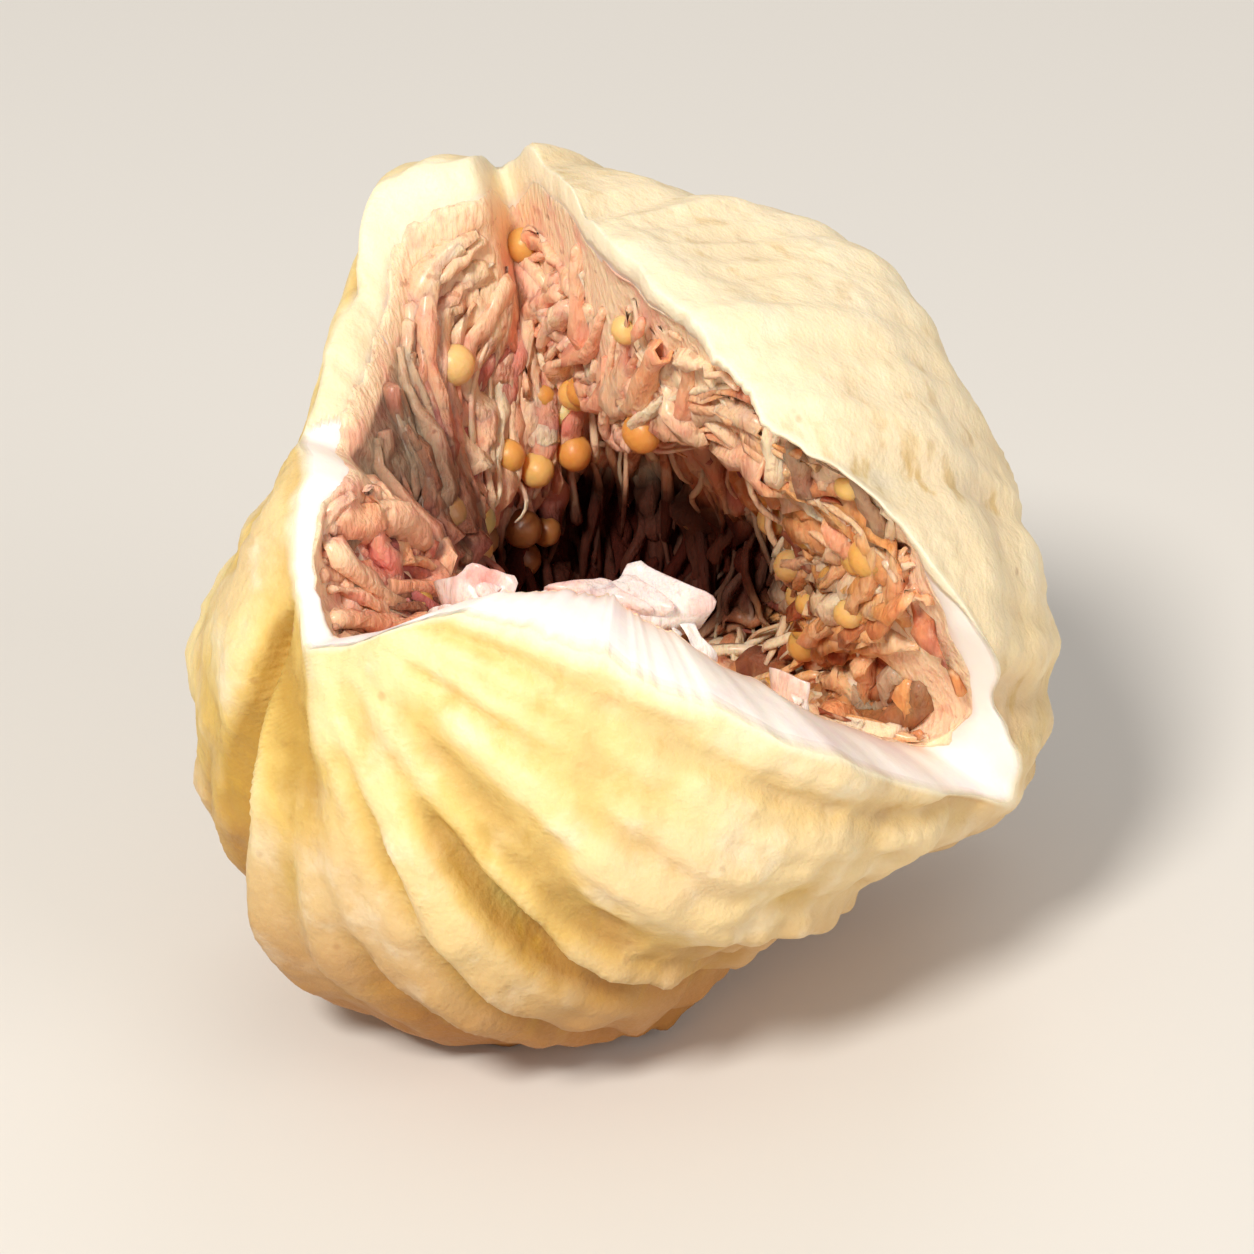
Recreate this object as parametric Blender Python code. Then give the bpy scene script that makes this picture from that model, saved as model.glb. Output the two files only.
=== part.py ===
"""A dried fig that has split open along one side, lying on its belly.

Lengths are metres and +Z is up. The fig stands on z = 0, and the origin is the middle of
the box round its footprint. The shapes are worked out in the face frame: x to the right
across the open face, y up the face and z out of it. The face then leans back.
"""

import math
from functools import partial

import bmesh
import bpy
import numpy as np
from mathutils import Matrix, Vector

MM = 0.001

# How the fig lies
LEAN_DEG = 28.0
CENTRE_HEIGHT = 12.7 * MM

# The body, as a ball with broad lumps: turn round the face and tilt out of it in degrees, height,
# and spread in degrees
BODY_RADIUS = 13.1 * MM
LUMPS = (
    (-18.0, 0.0, 1.6 * MM, 24.0),
    (-56.0, 0.0, -2.2 * MM, 27.0),
    (-130.0, 0.0, 2.1 * MM, 36.0),
    (150.0, 0.0, -2.3 * MM, 24.0),
    (110.0, 0.0, 2.4 * MM, 26.0),
    (46.0, 0.0, 1.0 * MM, 28.0),
    (-100.0, 62.0, 0.8 * MM, 30.0),
    (20.0, 50.0, 0.8 * MM, 26.0),
)

# The stem's end of the fig, behind and below the face; the eye was opposite it
STEM_WAY = (0.70, -0.10, -0.705)
NECK_BELLS = ((2.6 * MM, 25.0), (1.9 * MM, 9.5))
STUB_RADIUS = 1.45 * MM
STUB_END_RADIUS = 1.75 * MM
STUB_LENGTH = 5.4 * MM
STUB_PROUD = 1.8 * MM
STUB_SIDES = 14

# Ribs run from the stem to the eye: how many round the fig, height, how fast they fade at the ends
RIB_SETS = ((9, 0.45 * MM, 0.4), (20, 1.05 * MM, 0.7))
RIB_MIDDLE = 0.6
RIB_WANDER = 0.13
RIB_WANDER_WAVES = 2.6
RIB_UNEVENNESS = 0.2
RIB_UNEVEN_WAVES = 3.1
DIMPLE_HEIGHT = 0.22 * MM
DIMPLE_WAVES = 9.0

# The lid of the mouth is smoother than the rest, and a deep fold runs from the mouth's left end
CALM_TURN_DEG = 32.0
CALM_TILT_DEG = 34.0
CALM_SPREAD_DEG = 58.0
CALM_SHARE = 0.72
FOLD_DEPTH = 1.5 * MM
FOLD_TURN_DEG = -54.0
FOLD_WIDTH_DEG = 6.0
FOLD_REACH_DEG = (4.0, 88.0)
FOLD_EASE_DEG = (8.0, 30.0)

# Soft random rolls are sums of this many sine waves, each a little shorter or longer than asked
ROLL_WAVES = 7
ROLL_SPREAD = (0.7, 1.3)

# The mouth: the way that it faces, then its rim. Each rim point has its turn round the mouth,
# its angle from the middle, how far the flesh leans in past the skin, and the wall there.
MOUTH_WAY = (0.05, 0.27, 0.96)
RIM = (
    (-160.0, 50.0, -3.0, 2.1 * MM),
    (-155.0, 42.0, -5.0, 2.1 * MM),
    (-151.0, 31.0, -6.0, 2.1 * MM),
    (-146.0, 26.5, -7.0, 2.2 * MM),
    (-128.0, 21.7, -8.0, 2.3 * MM),
    (-98.0, 21.0, -8.5, 2.3 * MM),
    (-66.0, 30.0, -9.0, 2.4 * MM),
    (-48.0, 45.0, -9.0, 2.4 * MM),
    (-36.0, 67.0, -8.5, 2.4 * MM),
    (-26.0, 90.0, -8.0, 2.4 * MM),
    (-20.0, 77.0, -2.0, 2.1 * MM),
    (-14.0, 54.5, 1.0, 1.9 * MM),
    (-8.0, 44.5, 2.0, 1.7 * MM),
    (7.0, 32.5, 3.0, 1.6 * MM),
    (16.0, 25.0, 3.0, 1.6 * MM),
    (29.0, 20.5, 3.0, 1.6 * MM),
    (60.0, 23.0, 3.0, 1.6 * MM),
    (82.0, 31.0, 2.0, 1.6 * MM),
    (92.0, 42.0, 2.0, 1.7 * MM),
    (96.0, 52.0, 1.0, 1.8 * MM),
    (99.0, 68.0, 0.0, 1.9 * MM),
    (103.0, 88.0, 0.0, 2.0 * MM),
    (107.5, 71.0, 0.0, 2.1 * MM),
    (121.0, 73.0, 0.0, 2.3 * MM),
    (133.0, 69.5, 0.0, 2.3 * MM),
    (146.0, 57.5, -1.0, 2.2 * MM),
    (163.0, 51.0, -3.0, 2.1 * MM),
    (180.0, 49.6, -3.5, 2.1 * MM),
)
RIM_SOFTEN_DEG = 1.4
RIM_CROWN_DEG = 1.6
WALL_INSIDE = 1.8 * MM
WALL_EASE_DEG = 30.0

# The pulp that lines the wall, combed into fibres
PULP_GAP = 0.3 * MM
PULP_THICKNESS = 5.0 * MM
PULP_EDGE = 1.0 * MM
PULP_TAPER_DEG = 26.0
PULP_SETBACK_DEG = 2.5
PULP_LUMP = 0.35 * MM
PULP_LUMP_WAVES = 7.0
FIBRE_RELIEF = 0.28 * MM
FIBRE_UNEVENNESS = 0.7
FIBRE_WAVES = 31.0
FIBRE_EASE_DEG = (8.0, 50.0)

# Florets lie along the pulp in rows, roots to the rim and tips to the hollow: how many in a row,
# where the roots and the tips are past the pulp's edge, and the share of tips that hold a seed
FLORET_ROWS = (
    (38, 2.0, 23.0, 0.35),
    (28, 19.0, 41.0, 0.65),
    (20, 43.0, 63.0, 0.6),
    (9, 68.0, 86.0, 0.5),
)
FLORET_TURN_SHAKE_DEG = 2.5
FLORET_SLANT_DEG = 6.0
FLORET_ROOT_SHAKE_DEG = (-1.5, 3.0)
FLORET_TIP_SHAKE_DEG = 5.0
FLORET_WIDTH = 1.0 * MM
FLORET_ROOT_SHARE = 0.62
FLORET_FLATNESS = 0.7
FLORET_ROOT_SUNK = 0.35 * MM
FLORET_TIP_LIFT = 0.45 * MM
FLORET_SIDES = 5
SEED_RADIUS = 0.70 * MM
SEED_SIDES = 6
SEED_RINGS = 4
SEED_BEYOND_TIP = 0.18 * MM
RANDOM_SEED = 1

# How fine the solids are. Columns are shared out by the rim's length and by turn, rows lie closer
# at the rim, and towards the far pole the columns spread out evenly.
RIM_LENGTH_SHARE = 0.6
ROW_CROWDING = 1.15
EVEN_FROM_SHARE = 0.85
COLUMNS = 168
OUTSIDE_ROWS = 54
RIM_ROWS = 4
INSIDE_ROWS = 8
RIND_KEPT = 0.27
LEVEL_BELOW = 0.1 * MM
WELD = 0.002 * MM
PULP_COLUMNS = 60
PULP_OUTSIDE_ROWS = 4
PULP_RIM_ROWS = 1
PULP_INSIDE_ROWS = 10

# Colours of the finish
SKIN_COLOUR = (0.78, 0.62, 0.30, 1.0)
PULP_COLOUR = (0.50, 0.23, 0.13, 1.0)


def unit(vector):
    """The same way, one long."""
    vector = np.asarray(vector, float)
    return vector / np.linalg.norm(vector, axis=-1, keepdims=True)


def frame_about(axis, up_hint=(0.0, 1.0, 0.0)):
    """Right, up and axis as unit vectors, with up as near the hint as it can be."""
    axis = unit(axis)
    up = unit(np.asarray(up_hint) - np.dot(up_hint, axis) * axis)
    return np.cross(up, axis), up, axis


MOUTH_RIGHT, MOUTH_UP, MOUTH_AXIS = frame_about(MOUTH_WAY)
STEM_RIGHT, STEM_UP, STEM_AXIS = frame_about(STEM_WAY)


def face_direction(turn_deg, tilt_deg):
    """A way in the face frame, from its turn round the face and its tilt out of it."""
    turn, tilt = math.radians(turn_deg), math.radians(tilt_deg)
    flat = math.cos(tilt)
    return np.array([flat * math.cos(turn), flat * math.sin(turn), math.sin(tilt)])


def mouth_directions(turn_deg, polar_deg):
    """Ways in the face frame, from their turns round the mouth and angles from its axis."""
    turn, polar = np.radians(turn_deg)[..., None], np.radians(polar_deg)[..., None]
    across = np.cos(turn) * MOUTH_RIGHT + np.sin(turn) * MOUTH_UP
    return np.cos(polar) * MOUTH_AXIS + np.sin(polar) * across


def angle_deg(directions, axis):
    """The angles between some ways and an axis."""
    return np.degrees(np.arccos(np.clip(directions @ axis, -1.0, 1.0)))


def smooth_step(x):
    """0 to 1, level at both ends."""
    x = np.clip(x, 0.0, 1.0)
    return x * x * (3.0 - 2.0 * x)


def rolling(directions, waves, seed):
    """A soft random roll between about -1 and 1, made of sine waves in random directions."""
    random = np.random.default_rng(seed)
    total = np.zeros(directions.shape[:-1])
    for _ in range(ROLL_WAVES):
        way = unit(random.normal(size=3)) * waves * random.uniform(*ROLL_SPREAD)
        total += np.sin(directions @ way + random.uniform(0.0, math.tau))
    return total / math.sqrt(ROLL_WAVES)


def rim_values(turn_deg):
    """The rim's angle, flesh lean and wall at some turns round the mouth, softened between points."""
    step = 0.5
    fine = np.arange(-180.0, 180.0, step)
    shifts = range(-12, 13)
    weights = [math.exp(-0.5 * (shift * step / RIM_SOFTEN_DEG) ** 2) for shift in shifts]
    turns, *columns = np.array(sorted(RIM)).T
    found = []
    for column in columns:
        values = np.interp(fine, turns, column, period=360.0)
        soft = sum(weight * np.roll(values, shift) for weight, shift in zip(weights, shifts))
        found.append(np.interp(turn_deg, fine, soft / sum(weights), period=360.0))
    return found


def rim_turns(count):
    """Turns round the mouth for the columns, closer together where the rim runs steeply."""
    fine = np.linspace(-180.0, 180.0, 1441)
    rim = mouth_directions(fine, rim_values(fine)[0])
    steps = np.linalg.norm(np.diff(rim, axis=0), axis=1)
    along = np.concatenate([[0.0], np.cumsum(steps)])
    share = RIM_LENGTH_SHARE * along / along[-1]
    share += (1.0 - RIM_LENGTH_SHARE) * (fine + 180.0) / 360.0
    return np.interp(np.arange(count) / count, share, fine)


def body_radius(directions):
    """The fig's radius without its ribs."""
    radius = np.full(directions.shape[:-1], BODY_RADIUS)
    for turn, tilt, height, spread in LUMPS:
        away = angle_deg(directions, face_direction(turn, tilt))
        radius = radius + height * np.exp(-((away / spread) ** 2))
    return radius


def neck(directions):
    """How much the neck adds round the stem."""
    away = angle_deg(directions, STEM_AXIS)
    return sum(height * np.exp(-((away / spread) ** 2)) for height, spread in NECK_BELLS)


def ribs(directions):
    """Ribs from stem to eye, the dimples between them and the deep fold by the mouth's left end."""
    turn = np.arctan2(directions @ STEM_UP, directions @ STEM_RIGHT)
    away = angle_deg(directions, STEM_AXIS)
    wander = RIB_WANDER * rolling(directions, RIB_WANDER_WAVES, 3)
    strength = 1.0 - RIB_UNEVENNESS * (1.0 - rolling(directions, RIB_UNEVEN_WAVES, 5))
    calm = angle_deg(directions, face_direction(CALM_TURN_DEG, CALM_TILT_DEG)) / CALM_SPREAD_DEG
    strength = strength * (1.0 - CALM_SHARE * np.exp(-(calm**2)))
    height = DIMPLE_HEIGHT * rolling(directions, DIMPLE_WAVES, 7)
    for count, tall, fade in RIB_SETS:
        ridge = np.abs(np.sin(0.5 * count * (turn + wander)))
        ends = np.sin(np.radians(away)) ** fade
        height = height + tall * strength * ends * (ridge - RIB_MIDDLE)
    from_eye = 180.0 - away
    start, end = FOLD_REACH_DEG
    ease_in, ease_out = FOLD_EASE_DEG
    beside = (np.degrees(turn) - FOLD_TURN_DEG + 180.0) % 360.0 - 180.0
    reach = smooth_step((from_eye - start) / ease_in) * smooth_step((end - from_eye) / ease_out)
    return height - FOLD_DEPTH * reach * np.exp(-((beside / FOLD_WIDTH_DEG) ** 2))


def outside_radius(directions):
    """The skin."""
    return body_radius(directions) + neck(directions) + ribs(directions)


def stand(points):
    """Points of the face frame, leaned back, lifted and flattened where they would go below z = 0."""
    lean = math.radians(LEAN_DEG)
    turned = np.stack(
        [
            points[..., 0],
            points[..., 1] * math.sin(lean) - points[..., 2] * math.cos(lean),
            points[..., 1] * math.cos(lean) + points[..., 2] * math.sin(lean) + CENTRE_HEIGHT,
        ],
        axis=-1,
    )
    turned[..., 2] = np.maximum(turned[..., 2], 0.0)
    return turned


def grid(turns, start_deg, shares):
    """Turns and angles of rows that follow a rim at start_deg and spread out evenly to the far pole."""
    count = len(turns)
    even = turns[0] + 360.0 * np.arange(count) / count
    even += np.mean(turns - even)
    loose = smooth_step(np.asarray(shares) / EVEN_FROM_SHARE)[:, None]
    turn = (1.0 - loose) * turns + loose * even
    polar = start_deg + (180.0 - start_deg) * np.asarray(shares)[:, None]
    return turn, polar


def shares(rows):
    """Shares of the way from the rim to the far pole, closer together at the rim."""
    return (np.arange(1, rows + 1) / (rows + 1.0)) ** ROW_CROWDING


def wall_inside(directions, wall_at_rim, past_rim_deg):
    """Radius of the wall's inner face, where the rim's thickness eases into the wall's own."""
    ease = smooth_step(past_rim_deg / WALL_EASE_DEG)
    return body_radius(directions) - (wall_at_rim * (1.0 - ease) + WALL_INSIDE * ease)


def rind_rings():
    """Rings from the far pole along the skin, over the rim and back down the wall's inner face."""
    turns = rim_turns(COLUMNS)
    rim, lean, wall = rim_values(turns)
    turn, polar = grid(turns, rim, shares(OUTSIDE_ROWS))
    ways = mouth_directions(turn, polar)
    rings = list((ways * outside_radius(ways)[..., None])[::-1])

    at_skin = outside_radius(mouth_directions(turns, rim))
    at_flesh = body_radius(mouth_directions(turns, rim + lean)) - wall
    for row in range(RIM_ROWS + 1):
        share = row / RIM_ROWS
        crown = RIM_CROWN_DEG * math.sin(math.pi * share)
        ways = mouth_directions(turns, rim + lean * share - crown)
        rings.append(ways * (at_skin + (at_flesh - at_skin) * share)[:, None])

    turn, polar = grid(turns, rim + lean, shares(INSIDE_ROWS))
    ways = mouth_directions(turn, polar)
    inside = wall_inside(ways, wall, polar - (rim + lean))
    rings += list(ways * inside[..., None])
    return rings, -MOUTH_AXIS * outside_radius(-MOUTH_AXIS), -MOUTH_AXIS * (
        body_radius(-MOUTH_AXIS) - WALL_INSIDE
    )


def pulp_inside(ways, wall, past_rim_deg):
    """Radius of the pulp's face to the hollow."""
    ease = smooth_step(past_rim_deg / PULP_TAPER_DEG)
    thick = PULP_EDGE + (PULP_THICKNESS - PULP_EDGE) * ease
    thick = thick + PULP_LUMP * ease * rolling(ways, PULP_LUMP_WAVES, 17)
    return wall_inside(ways, wall, past_rim_deg) - PULP_GAP - thick


def pulp_rings():
    """Rings from the far pole along the back of the pulp, over its edge and along its face."""
    turns = rim_turns(PULP_COLUMNS)
    rim, lean, wall = rim_values(turns)
    start = rim + lean + PULP_SETBACK_DEG
    turn, polar = grid(turns, start, shares(PULP_OUTSIDE_ROWS))
    ways = mouth_directions(turn, polar)
    back = wall_inside(ways, wall, polar - (rim + lean)) - PULP_GAP
    rings = list((ways * back[..., None])[::-1])

    ways = mouth_directions(turns, start)
    past = start - (rim + lean)
    at_back = wall_inside(ways, wall, past) - PULP_GAP
    at_face = pulp_inside(ways, wall, past)
    for row in range(PULP_RIM_ROWS + 1):
        share = row / PULP_RIM_ROWS
        rings.append(ways * (at_back + (at_face - at_back) * share)[:, None])

    turn, polar = grid(turns, start, shares(PULP_INSIDE_ROWS))
    ways = mouth_directions(turn, polar)
    past = polar - (rim + lean)
    comb = np.where(np.arange(PULP_COLUMNS) % 2, 1.0, -1.0)
    at_edge, at_pole = FIBRE_EASE_DEG
    fade = smooth_step(past / at_edge) * smooth_step((180.0 - polar) / at_pole)
    relief = FIBRE_RELIEF * fade * (comb + FIBRE_UNEVENNESS * rolling(ways, FIBRE_WAVES, 19))
    rings += list(ways * (pulp_inside(ways, wall, past) + relief)[..., None])
    far = -MOUTH_AXIS
    back_pole = far * (body_radius(far) - WALL_INSIDE - PULP_GAP)
    face_pole = far * pulp_inside(far, WALL_INSIDE, np.array(180.0))
    return rings, back_pole, face_pole


def closed_object(name, rings, first_pole, last_pole, shift):
    """A closed mesh from rings of points in the face frame, with a pole at each end."""
    mesh = bpy.data.meshes.new(name)
    bm = bmesh.new()
    rows = [[bm.verts.new(point) for point in stand(ring) + shift] for ring in rings]
    first = bm.verts.new(stand(np.asarray(first_pole)) + shift)
    last = bm.verts.new(stand(np.asarray(last_pole)) + shift)
    count = len(rows[0])
    for i in range(count):
        j = (i + 1) % count
        bm.faces.new((first, rows[0][i], rows[0][j]))
        bm.faces.new((last, rows[-1][j], rows[-1][i]))
        for near, far in zip(rows, rows[1:]):
            bm.faces.new((near[i], far[i], far[j], near[j]))
    bmesh.ops.recalc_face_normals(bm, faces=bm.faces)
    bm.to_mesh(mesh)
    bm.free()
    mesh.shade_smooth()
    made = bpy.data.objects.new(name, mesh)
    bpy.context.scene.collection.objects.link(made)
    return made


def apply_modifier(obj, modifier):
    """Makes a modifier's result the object's own mesh."""
    bpy.context.view_layer.objects.active = obj
    bpy.ops.object.modifier_apply(modifier=modifier.name)


def keep_fewer_faces(rind):
    """Thins the faces out where the skin is smooth, and levels the spot that the fig lies on."""
    fewer = rind.modifiers.new("fewer_faces", "DECIMATE")
    fewer.ratio = RIND_KEPT
    apply_modifier(rind, fewer)
    for vertex in rind.data.vertices:
        if vertex.co.z < LEVEL_BELOW:
            vertex.co.z = 0.0


def facing(way):
    """A rotation that turns +Z to a way."""
    return Vector(way).to_track_quat("Z", "Y").to_matrix().to_4x4()


def stem_stub(shift):
    """The cut stem, sunk well into the neck."""
    lean = Matrix.Rotation(math.radians(90.0 - LEAN_DEG), 4, "X")
    way = lean @ Vector(STEM_AXIS)
    neck_end = float(outside_radius(STEM_AXIS))
    middle = way * (neck_end + STUB_PROUD - 0.5 * STUB_LENGTH)
    bpy.ops.mesh.primitive_cone_add(
        vertices=STUB_SIDES,
        radius1=STUB_RADIUS,
        radius2=STUB_END_RADIUS,
        depth=STUB_LENGTH,
        location=middle + Vector((shift[0], shift[1], CENTRE_HEIGHT)),
        rotation=facing(way).to_euler(),
    )
    stub = bpy.context.object
    stub.name = "stem_stub"
    stub.hide_render = True
    stub.display_type = "WIRE"
    return stub


def pulp_point(turn, past_edge, outward):
    """A point on the pulp's face, by its turn round the mouth and how far past the edge it lies."""
    rim, lean, wall = (float(value) for value in rim_values(turn))
    past = past_edge + PULP_SETBACK_DEG
    polar = min(rim + lean + past, 176.0)
    way = mouth_directions(np.array(turn), np.array(polar))
    return way * (float(pulp_inside(way, wall, np.array(past))) + outward)


def add_floret(bm, root, tip, spin):
    """One shrunken floret, a flat tapered body from its root in the pulp to its tip."""
    along = Vector(tip - root)
    flat = Matrix.Diagonal((1.0, FLORET_FLATNESS, 1.0, 1.0))
    bmesh.ops.create_cone(
        bm,
        cap_ends=True,
        segments=FLORET_SIDES,
        radius1=0.5 * FLORET_WIDTH * FLORET_ROOT_SHARE,
        radius2=0.5 * FLORET_WIDTH,
        depth=along.length,
        matrix=Matrix.Translation(0.5 * Vector(root + tip))
        @ facing(along)
        @ Matrix.Rotation(spin, 4, "Z")
        @ flat,
    )


def add_seed(bm, centre, spin):
    """One round seed."""
    bmesh.ops.create_uvsphere(
        bm,
        u_segments=SEED_SIDES,
        v_segments=SEED_RINGS,
        radius=SEED_RADIUS,
        matrix=Matrix.Translation(centre) @ Matrix.Rotation(spin, 4, "Z"),
    )


def florets_and_seeds():
    """What to add for each floret and for the seed that some of them hold."""
    random = np.random.default_rng(RANDOM_SEED)
    adders = []
    for count, root_past, tip_past, with_seed in FLORET_ROWS:
        for turn in rim_turns(count):
            turn += FLORET_TURN_SHAKE_DEG * random.uniform(-1.0, 1.0)
            slant = FLORET_SLANT_DEG * random.uniform(-1.0, 1.0)
            root_at = root_past + random.uniform(*FLORET_ROOT_SHAKE_DEG)
            tip_at = tip_past + FLORET_TIP_SHAKE_DEG * random.uniform(-1.0, 1.0)
            root = pulp_point(turn, root_at, FLORET_ROOT_SUNK)
            tip = pulp_point(turn + slant, tip_at, -FLORET_TIP_LIFT)
            spin = random.uniform(0.0, math.tau)
            adders.append(partial(add_floret, root=root, tip=tip, spin=spin))
            if random.random() < with_seed:
                centre = tip + SEED_BEYOND_TIP * unit(tip - root)
                adders.append(partial(add_seed, centre=centre, spin=random.uniform(0.0, math.tau)))
    return adders


def keep_outer_skin(obj):
    """Fills the pockets that a union sealed, by keeping only the largest connected surface."""
    bm = bmesh.new()
    bm.from_mesh(obj.data)
    bmesh.ops.triangulate(bm, faces=bm.faces)
    bmesh.ops.remove_doubles(bm, verts=bm.verts, dist=WELD)
    bmesh.ops.dissolve_degenerate(bm, edges=bm.edges, dist=WELD)
    unseen = set(bm.faces)
    surfaces = []
    while unseen:
        found = [unseen.pop()]
        for face in found:
            for edge in face.edges:
                if len(edge.link_faces) != 2:
                    continue
                for other in edge.link_faces:
                    if other in unseen:
                        unseen.remove(other)
                        found.append(other)
        surfaces.append(found)
    surfaces.sort(key=len)
    for surface in surfaces[:-1]:
        bmesh.ops.delete(bm, geom=surface, context="FACES")
    bm.to_mesh(obj.data)
    bm.free()


def grow(pulp, adders, shift):
    """Joins what the adders make to the pulp, as one solid."""
    lean = Matrix.Rotation(math.radians(90.0 - LEAN_DEG), 4, "X")
    place = Matrix.Translation((shift[0], shift[1], CENTRE_HEIGHT)) @ lean
    repeats = bpy.data.collections.new("grown_from_pulp")
    bpy.context.scene.collection.children.link(repeats)
    for number, add in enumerate(adders):
        bm = bmesh.new()
        add(bm)
        bm.transform(place)
        mesh = bpy.data.meshes.new(f"grown_{number}")
        bm.to_mesh(mesh)
        bm.free()
        repeats.objects.link(bpy.data.objects.new(f"grown_{number}", mesh))
    union = pulp.modifiers.new("grown", "BOOLEAN")
    union.operation = "UNION"
    union.operand_type = "COLLECTION"
    union.collection = repeats
    union.solver = "MANIFOLD"
    apply_modifier(pulp, union)
    for extra in list(repeats.objects):
        bpy.data.objects.remove(extra)
    bpy.data.collections.remove(repeats)
    keep_outer_skin(pulp)


def finish(obj, name, colour, roughness):
    """Gives an object its own material."""
    material = bpy.data.materials.new(name)
    material.use_nodes = True
    shader = material.node_tree.nodes["Principled BSDF"]
    shader.inputs["Base Color"].default_value = colour
    shader.inputs["Roughness"].default_value = roughness
    obj.data.materials.clear()
    obj.data.materials.append(material)


def main():
    """Builds the rind with its stem, and the pulp with its seeds and florets."""
    for old in list(bpy.data.objects):
        bpy.data.objects.remove(old)

    rings, skin_pole, wall_pole = rind_rings()
    standing = stand(np.concatenate(rings))
    middle = 0.5 * (standing.min(axis=0) + standing.max(axis=0))
    shift = np.array([-middle[0], -middle[1], 0.0])

    rind = closed_object("rind", rings, skin_pole, wall_pole, shift)
    keep_fewer_faces(rind)
    joined = rind.modifiers.new("stem", "BOOLEAN")
    joined.operation = "UNION"
    joined.solver = "EXACT"
    joined.object = stem_stub(shift)
    finish(rind, "skin", SKIN_COLOUR, 0.6)

    pulp = closed_object("pulp", *pulp_rings(), shift)
    grow(pulp, florets_and_seeds(), shift)
    finish(pulp, "pulp", PULP_COLOUR, 0.55)


main()
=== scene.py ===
"""One dried fig, split open along one side, with its final look.

Lengths are metres and +Z is up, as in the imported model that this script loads. The shape comes
from the same formulas as the solids, worked out more finely, in the face frame: x to the right
across the open face, y up the face and z out of it. Ways are unit vectors from the fig's middle.
"""

import logging
import math
from dataclasses import dataclass, field
from enum import Enum
from functools import cached_property
from itertools import islice
from typing import Any, Iterator, Mapping, Sequence

import bmesh
import bpy
import numpy as np
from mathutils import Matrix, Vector, noise


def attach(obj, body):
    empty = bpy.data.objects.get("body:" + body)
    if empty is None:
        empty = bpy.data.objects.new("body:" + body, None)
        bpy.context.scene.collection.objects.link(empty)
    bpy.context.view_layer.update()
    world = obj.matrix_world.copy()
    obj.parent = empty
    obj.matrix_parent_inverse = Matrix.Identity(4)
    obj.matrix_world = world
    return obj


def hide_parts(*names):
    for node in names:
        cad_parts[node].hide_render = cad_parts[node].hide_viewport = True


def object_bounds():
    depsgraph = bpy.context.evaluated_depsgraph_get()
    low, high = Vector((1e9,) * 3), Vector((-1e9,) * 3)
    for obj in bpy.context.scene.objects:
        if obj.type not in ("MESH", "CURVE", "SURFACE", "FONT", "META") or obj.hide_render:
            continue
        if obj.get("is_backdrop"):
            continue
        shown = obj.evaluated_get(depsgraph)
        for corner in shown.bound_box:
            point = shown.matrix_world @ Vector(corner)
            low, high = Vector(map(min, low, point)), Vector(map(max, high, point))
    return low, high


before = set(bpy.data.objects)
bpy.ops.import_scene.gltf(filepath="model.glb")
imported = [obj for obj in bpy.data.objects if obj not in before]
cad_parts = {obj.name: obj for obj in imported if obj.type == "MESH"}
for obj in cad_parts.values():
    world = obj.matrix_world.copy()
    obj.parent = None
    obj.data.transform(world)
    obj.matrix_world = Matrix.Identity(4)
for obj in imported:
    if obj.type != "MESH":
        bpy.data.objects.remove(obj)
CAD_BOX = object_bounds()

MM = 0.001
SEED_STEP = 13.7
CREASE_WIDTH = 0.13
Array = np.ndarray
Span = tuple[float, float]
Triple = tuple[float, float, float]
Colour = tuple[float, float, float]


def unit(vectors: Any) -> Array:
    """The same ways, each one long."""
    vectors = np.asarray(vectors, float)
    return vectors / np.linalg.norm(vectors, axis=-1, keepdims=True)


def smooth_step(x: Any) -> Array:
    """0 to 1, level at both ends."""
    x = np.clip(x, 0.0, 1.0)
    return x * x * (3.0 - 2.0 * x)


def angle_deg(ways: Array, axis: Array) -> Array:
    """The angles between some ways and an axis."""
    return np.degrees(np.arccos(np.clip(ways @ axis, -1.0, 1.0)))


def bell(ways: Array, axis: Any, spread_deg: float, power: int = 2) -> Array:
    """1 along an axis, fading over some degrees round it."""
    return np.exp(-((angle_deg(ways, unit(axis)) / spread_deg) ** power))


def axes_about(axis: Triple) -> tuple[Array, Array, Array]:
    """Right, up and axis as unit vectors, with up as near +Y as it can be."""
    along = unit(axis)
    hint = np.array([0.0, 1.0, 0.0])
    up = unit(hint - np.dot(hint, along) * along)
    return np.cross(up, along), up, along


def disc_points(turns: Array, size: float = 1.0) -> Array:
    """Points round a circle, with z = 0."""
    return np.stack([size * np.cos(turns), size * np.sin(turns), turns * 0.0], axis=-1)


def moved(points: Array, scale: float, seed: float) -> list:
    """Points in a row, scaled, and moved so that each use of a noise has its own."""
    return (points.reshape(-1, 3) * scale + seed * SEED_STEP).tolist()


def noise_at(points: Array, scale: float, seed: float) -> Array:
    """Soft noise from about -1 to 1.

    Args:
        points: Where it is read, with the last axis x, y and z.
        scale: How many of its bumps there are to one unit of length.
        seed: Moves it, so that each use has its own.

    Returns:
        One value for each point.
    """
    flat = moved(points, scale, seed)
    values = np.fromiter((noise.noise(Vector(point)) for point in flat), float, len(flat))
    return values.reshape(points.shape[:-1])


def creases_at(points: Array, scale: float, seed: float) -> Array:
    """A net of creases: 1 along its lines and 0 between them.

    Args:
        points: Where it is read, with the last axis x, y and z.
        scale: How many meshes of the net there are to one unit of length.
        seed: Moves it, so that each use has its own.

    Returns:
        One value for each point.
    """
    flat = moved(points, scale, seed)
    found = (noise.voronoi(Vector(point))[0] for point in flat)
    values = np.fromiter((near[1] - near[0] for near in found), float, len(flat))
    return np.exp(-((values / CREASE_WIDTH) ** 2)).reshape(points.shape[:-1])


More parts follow.
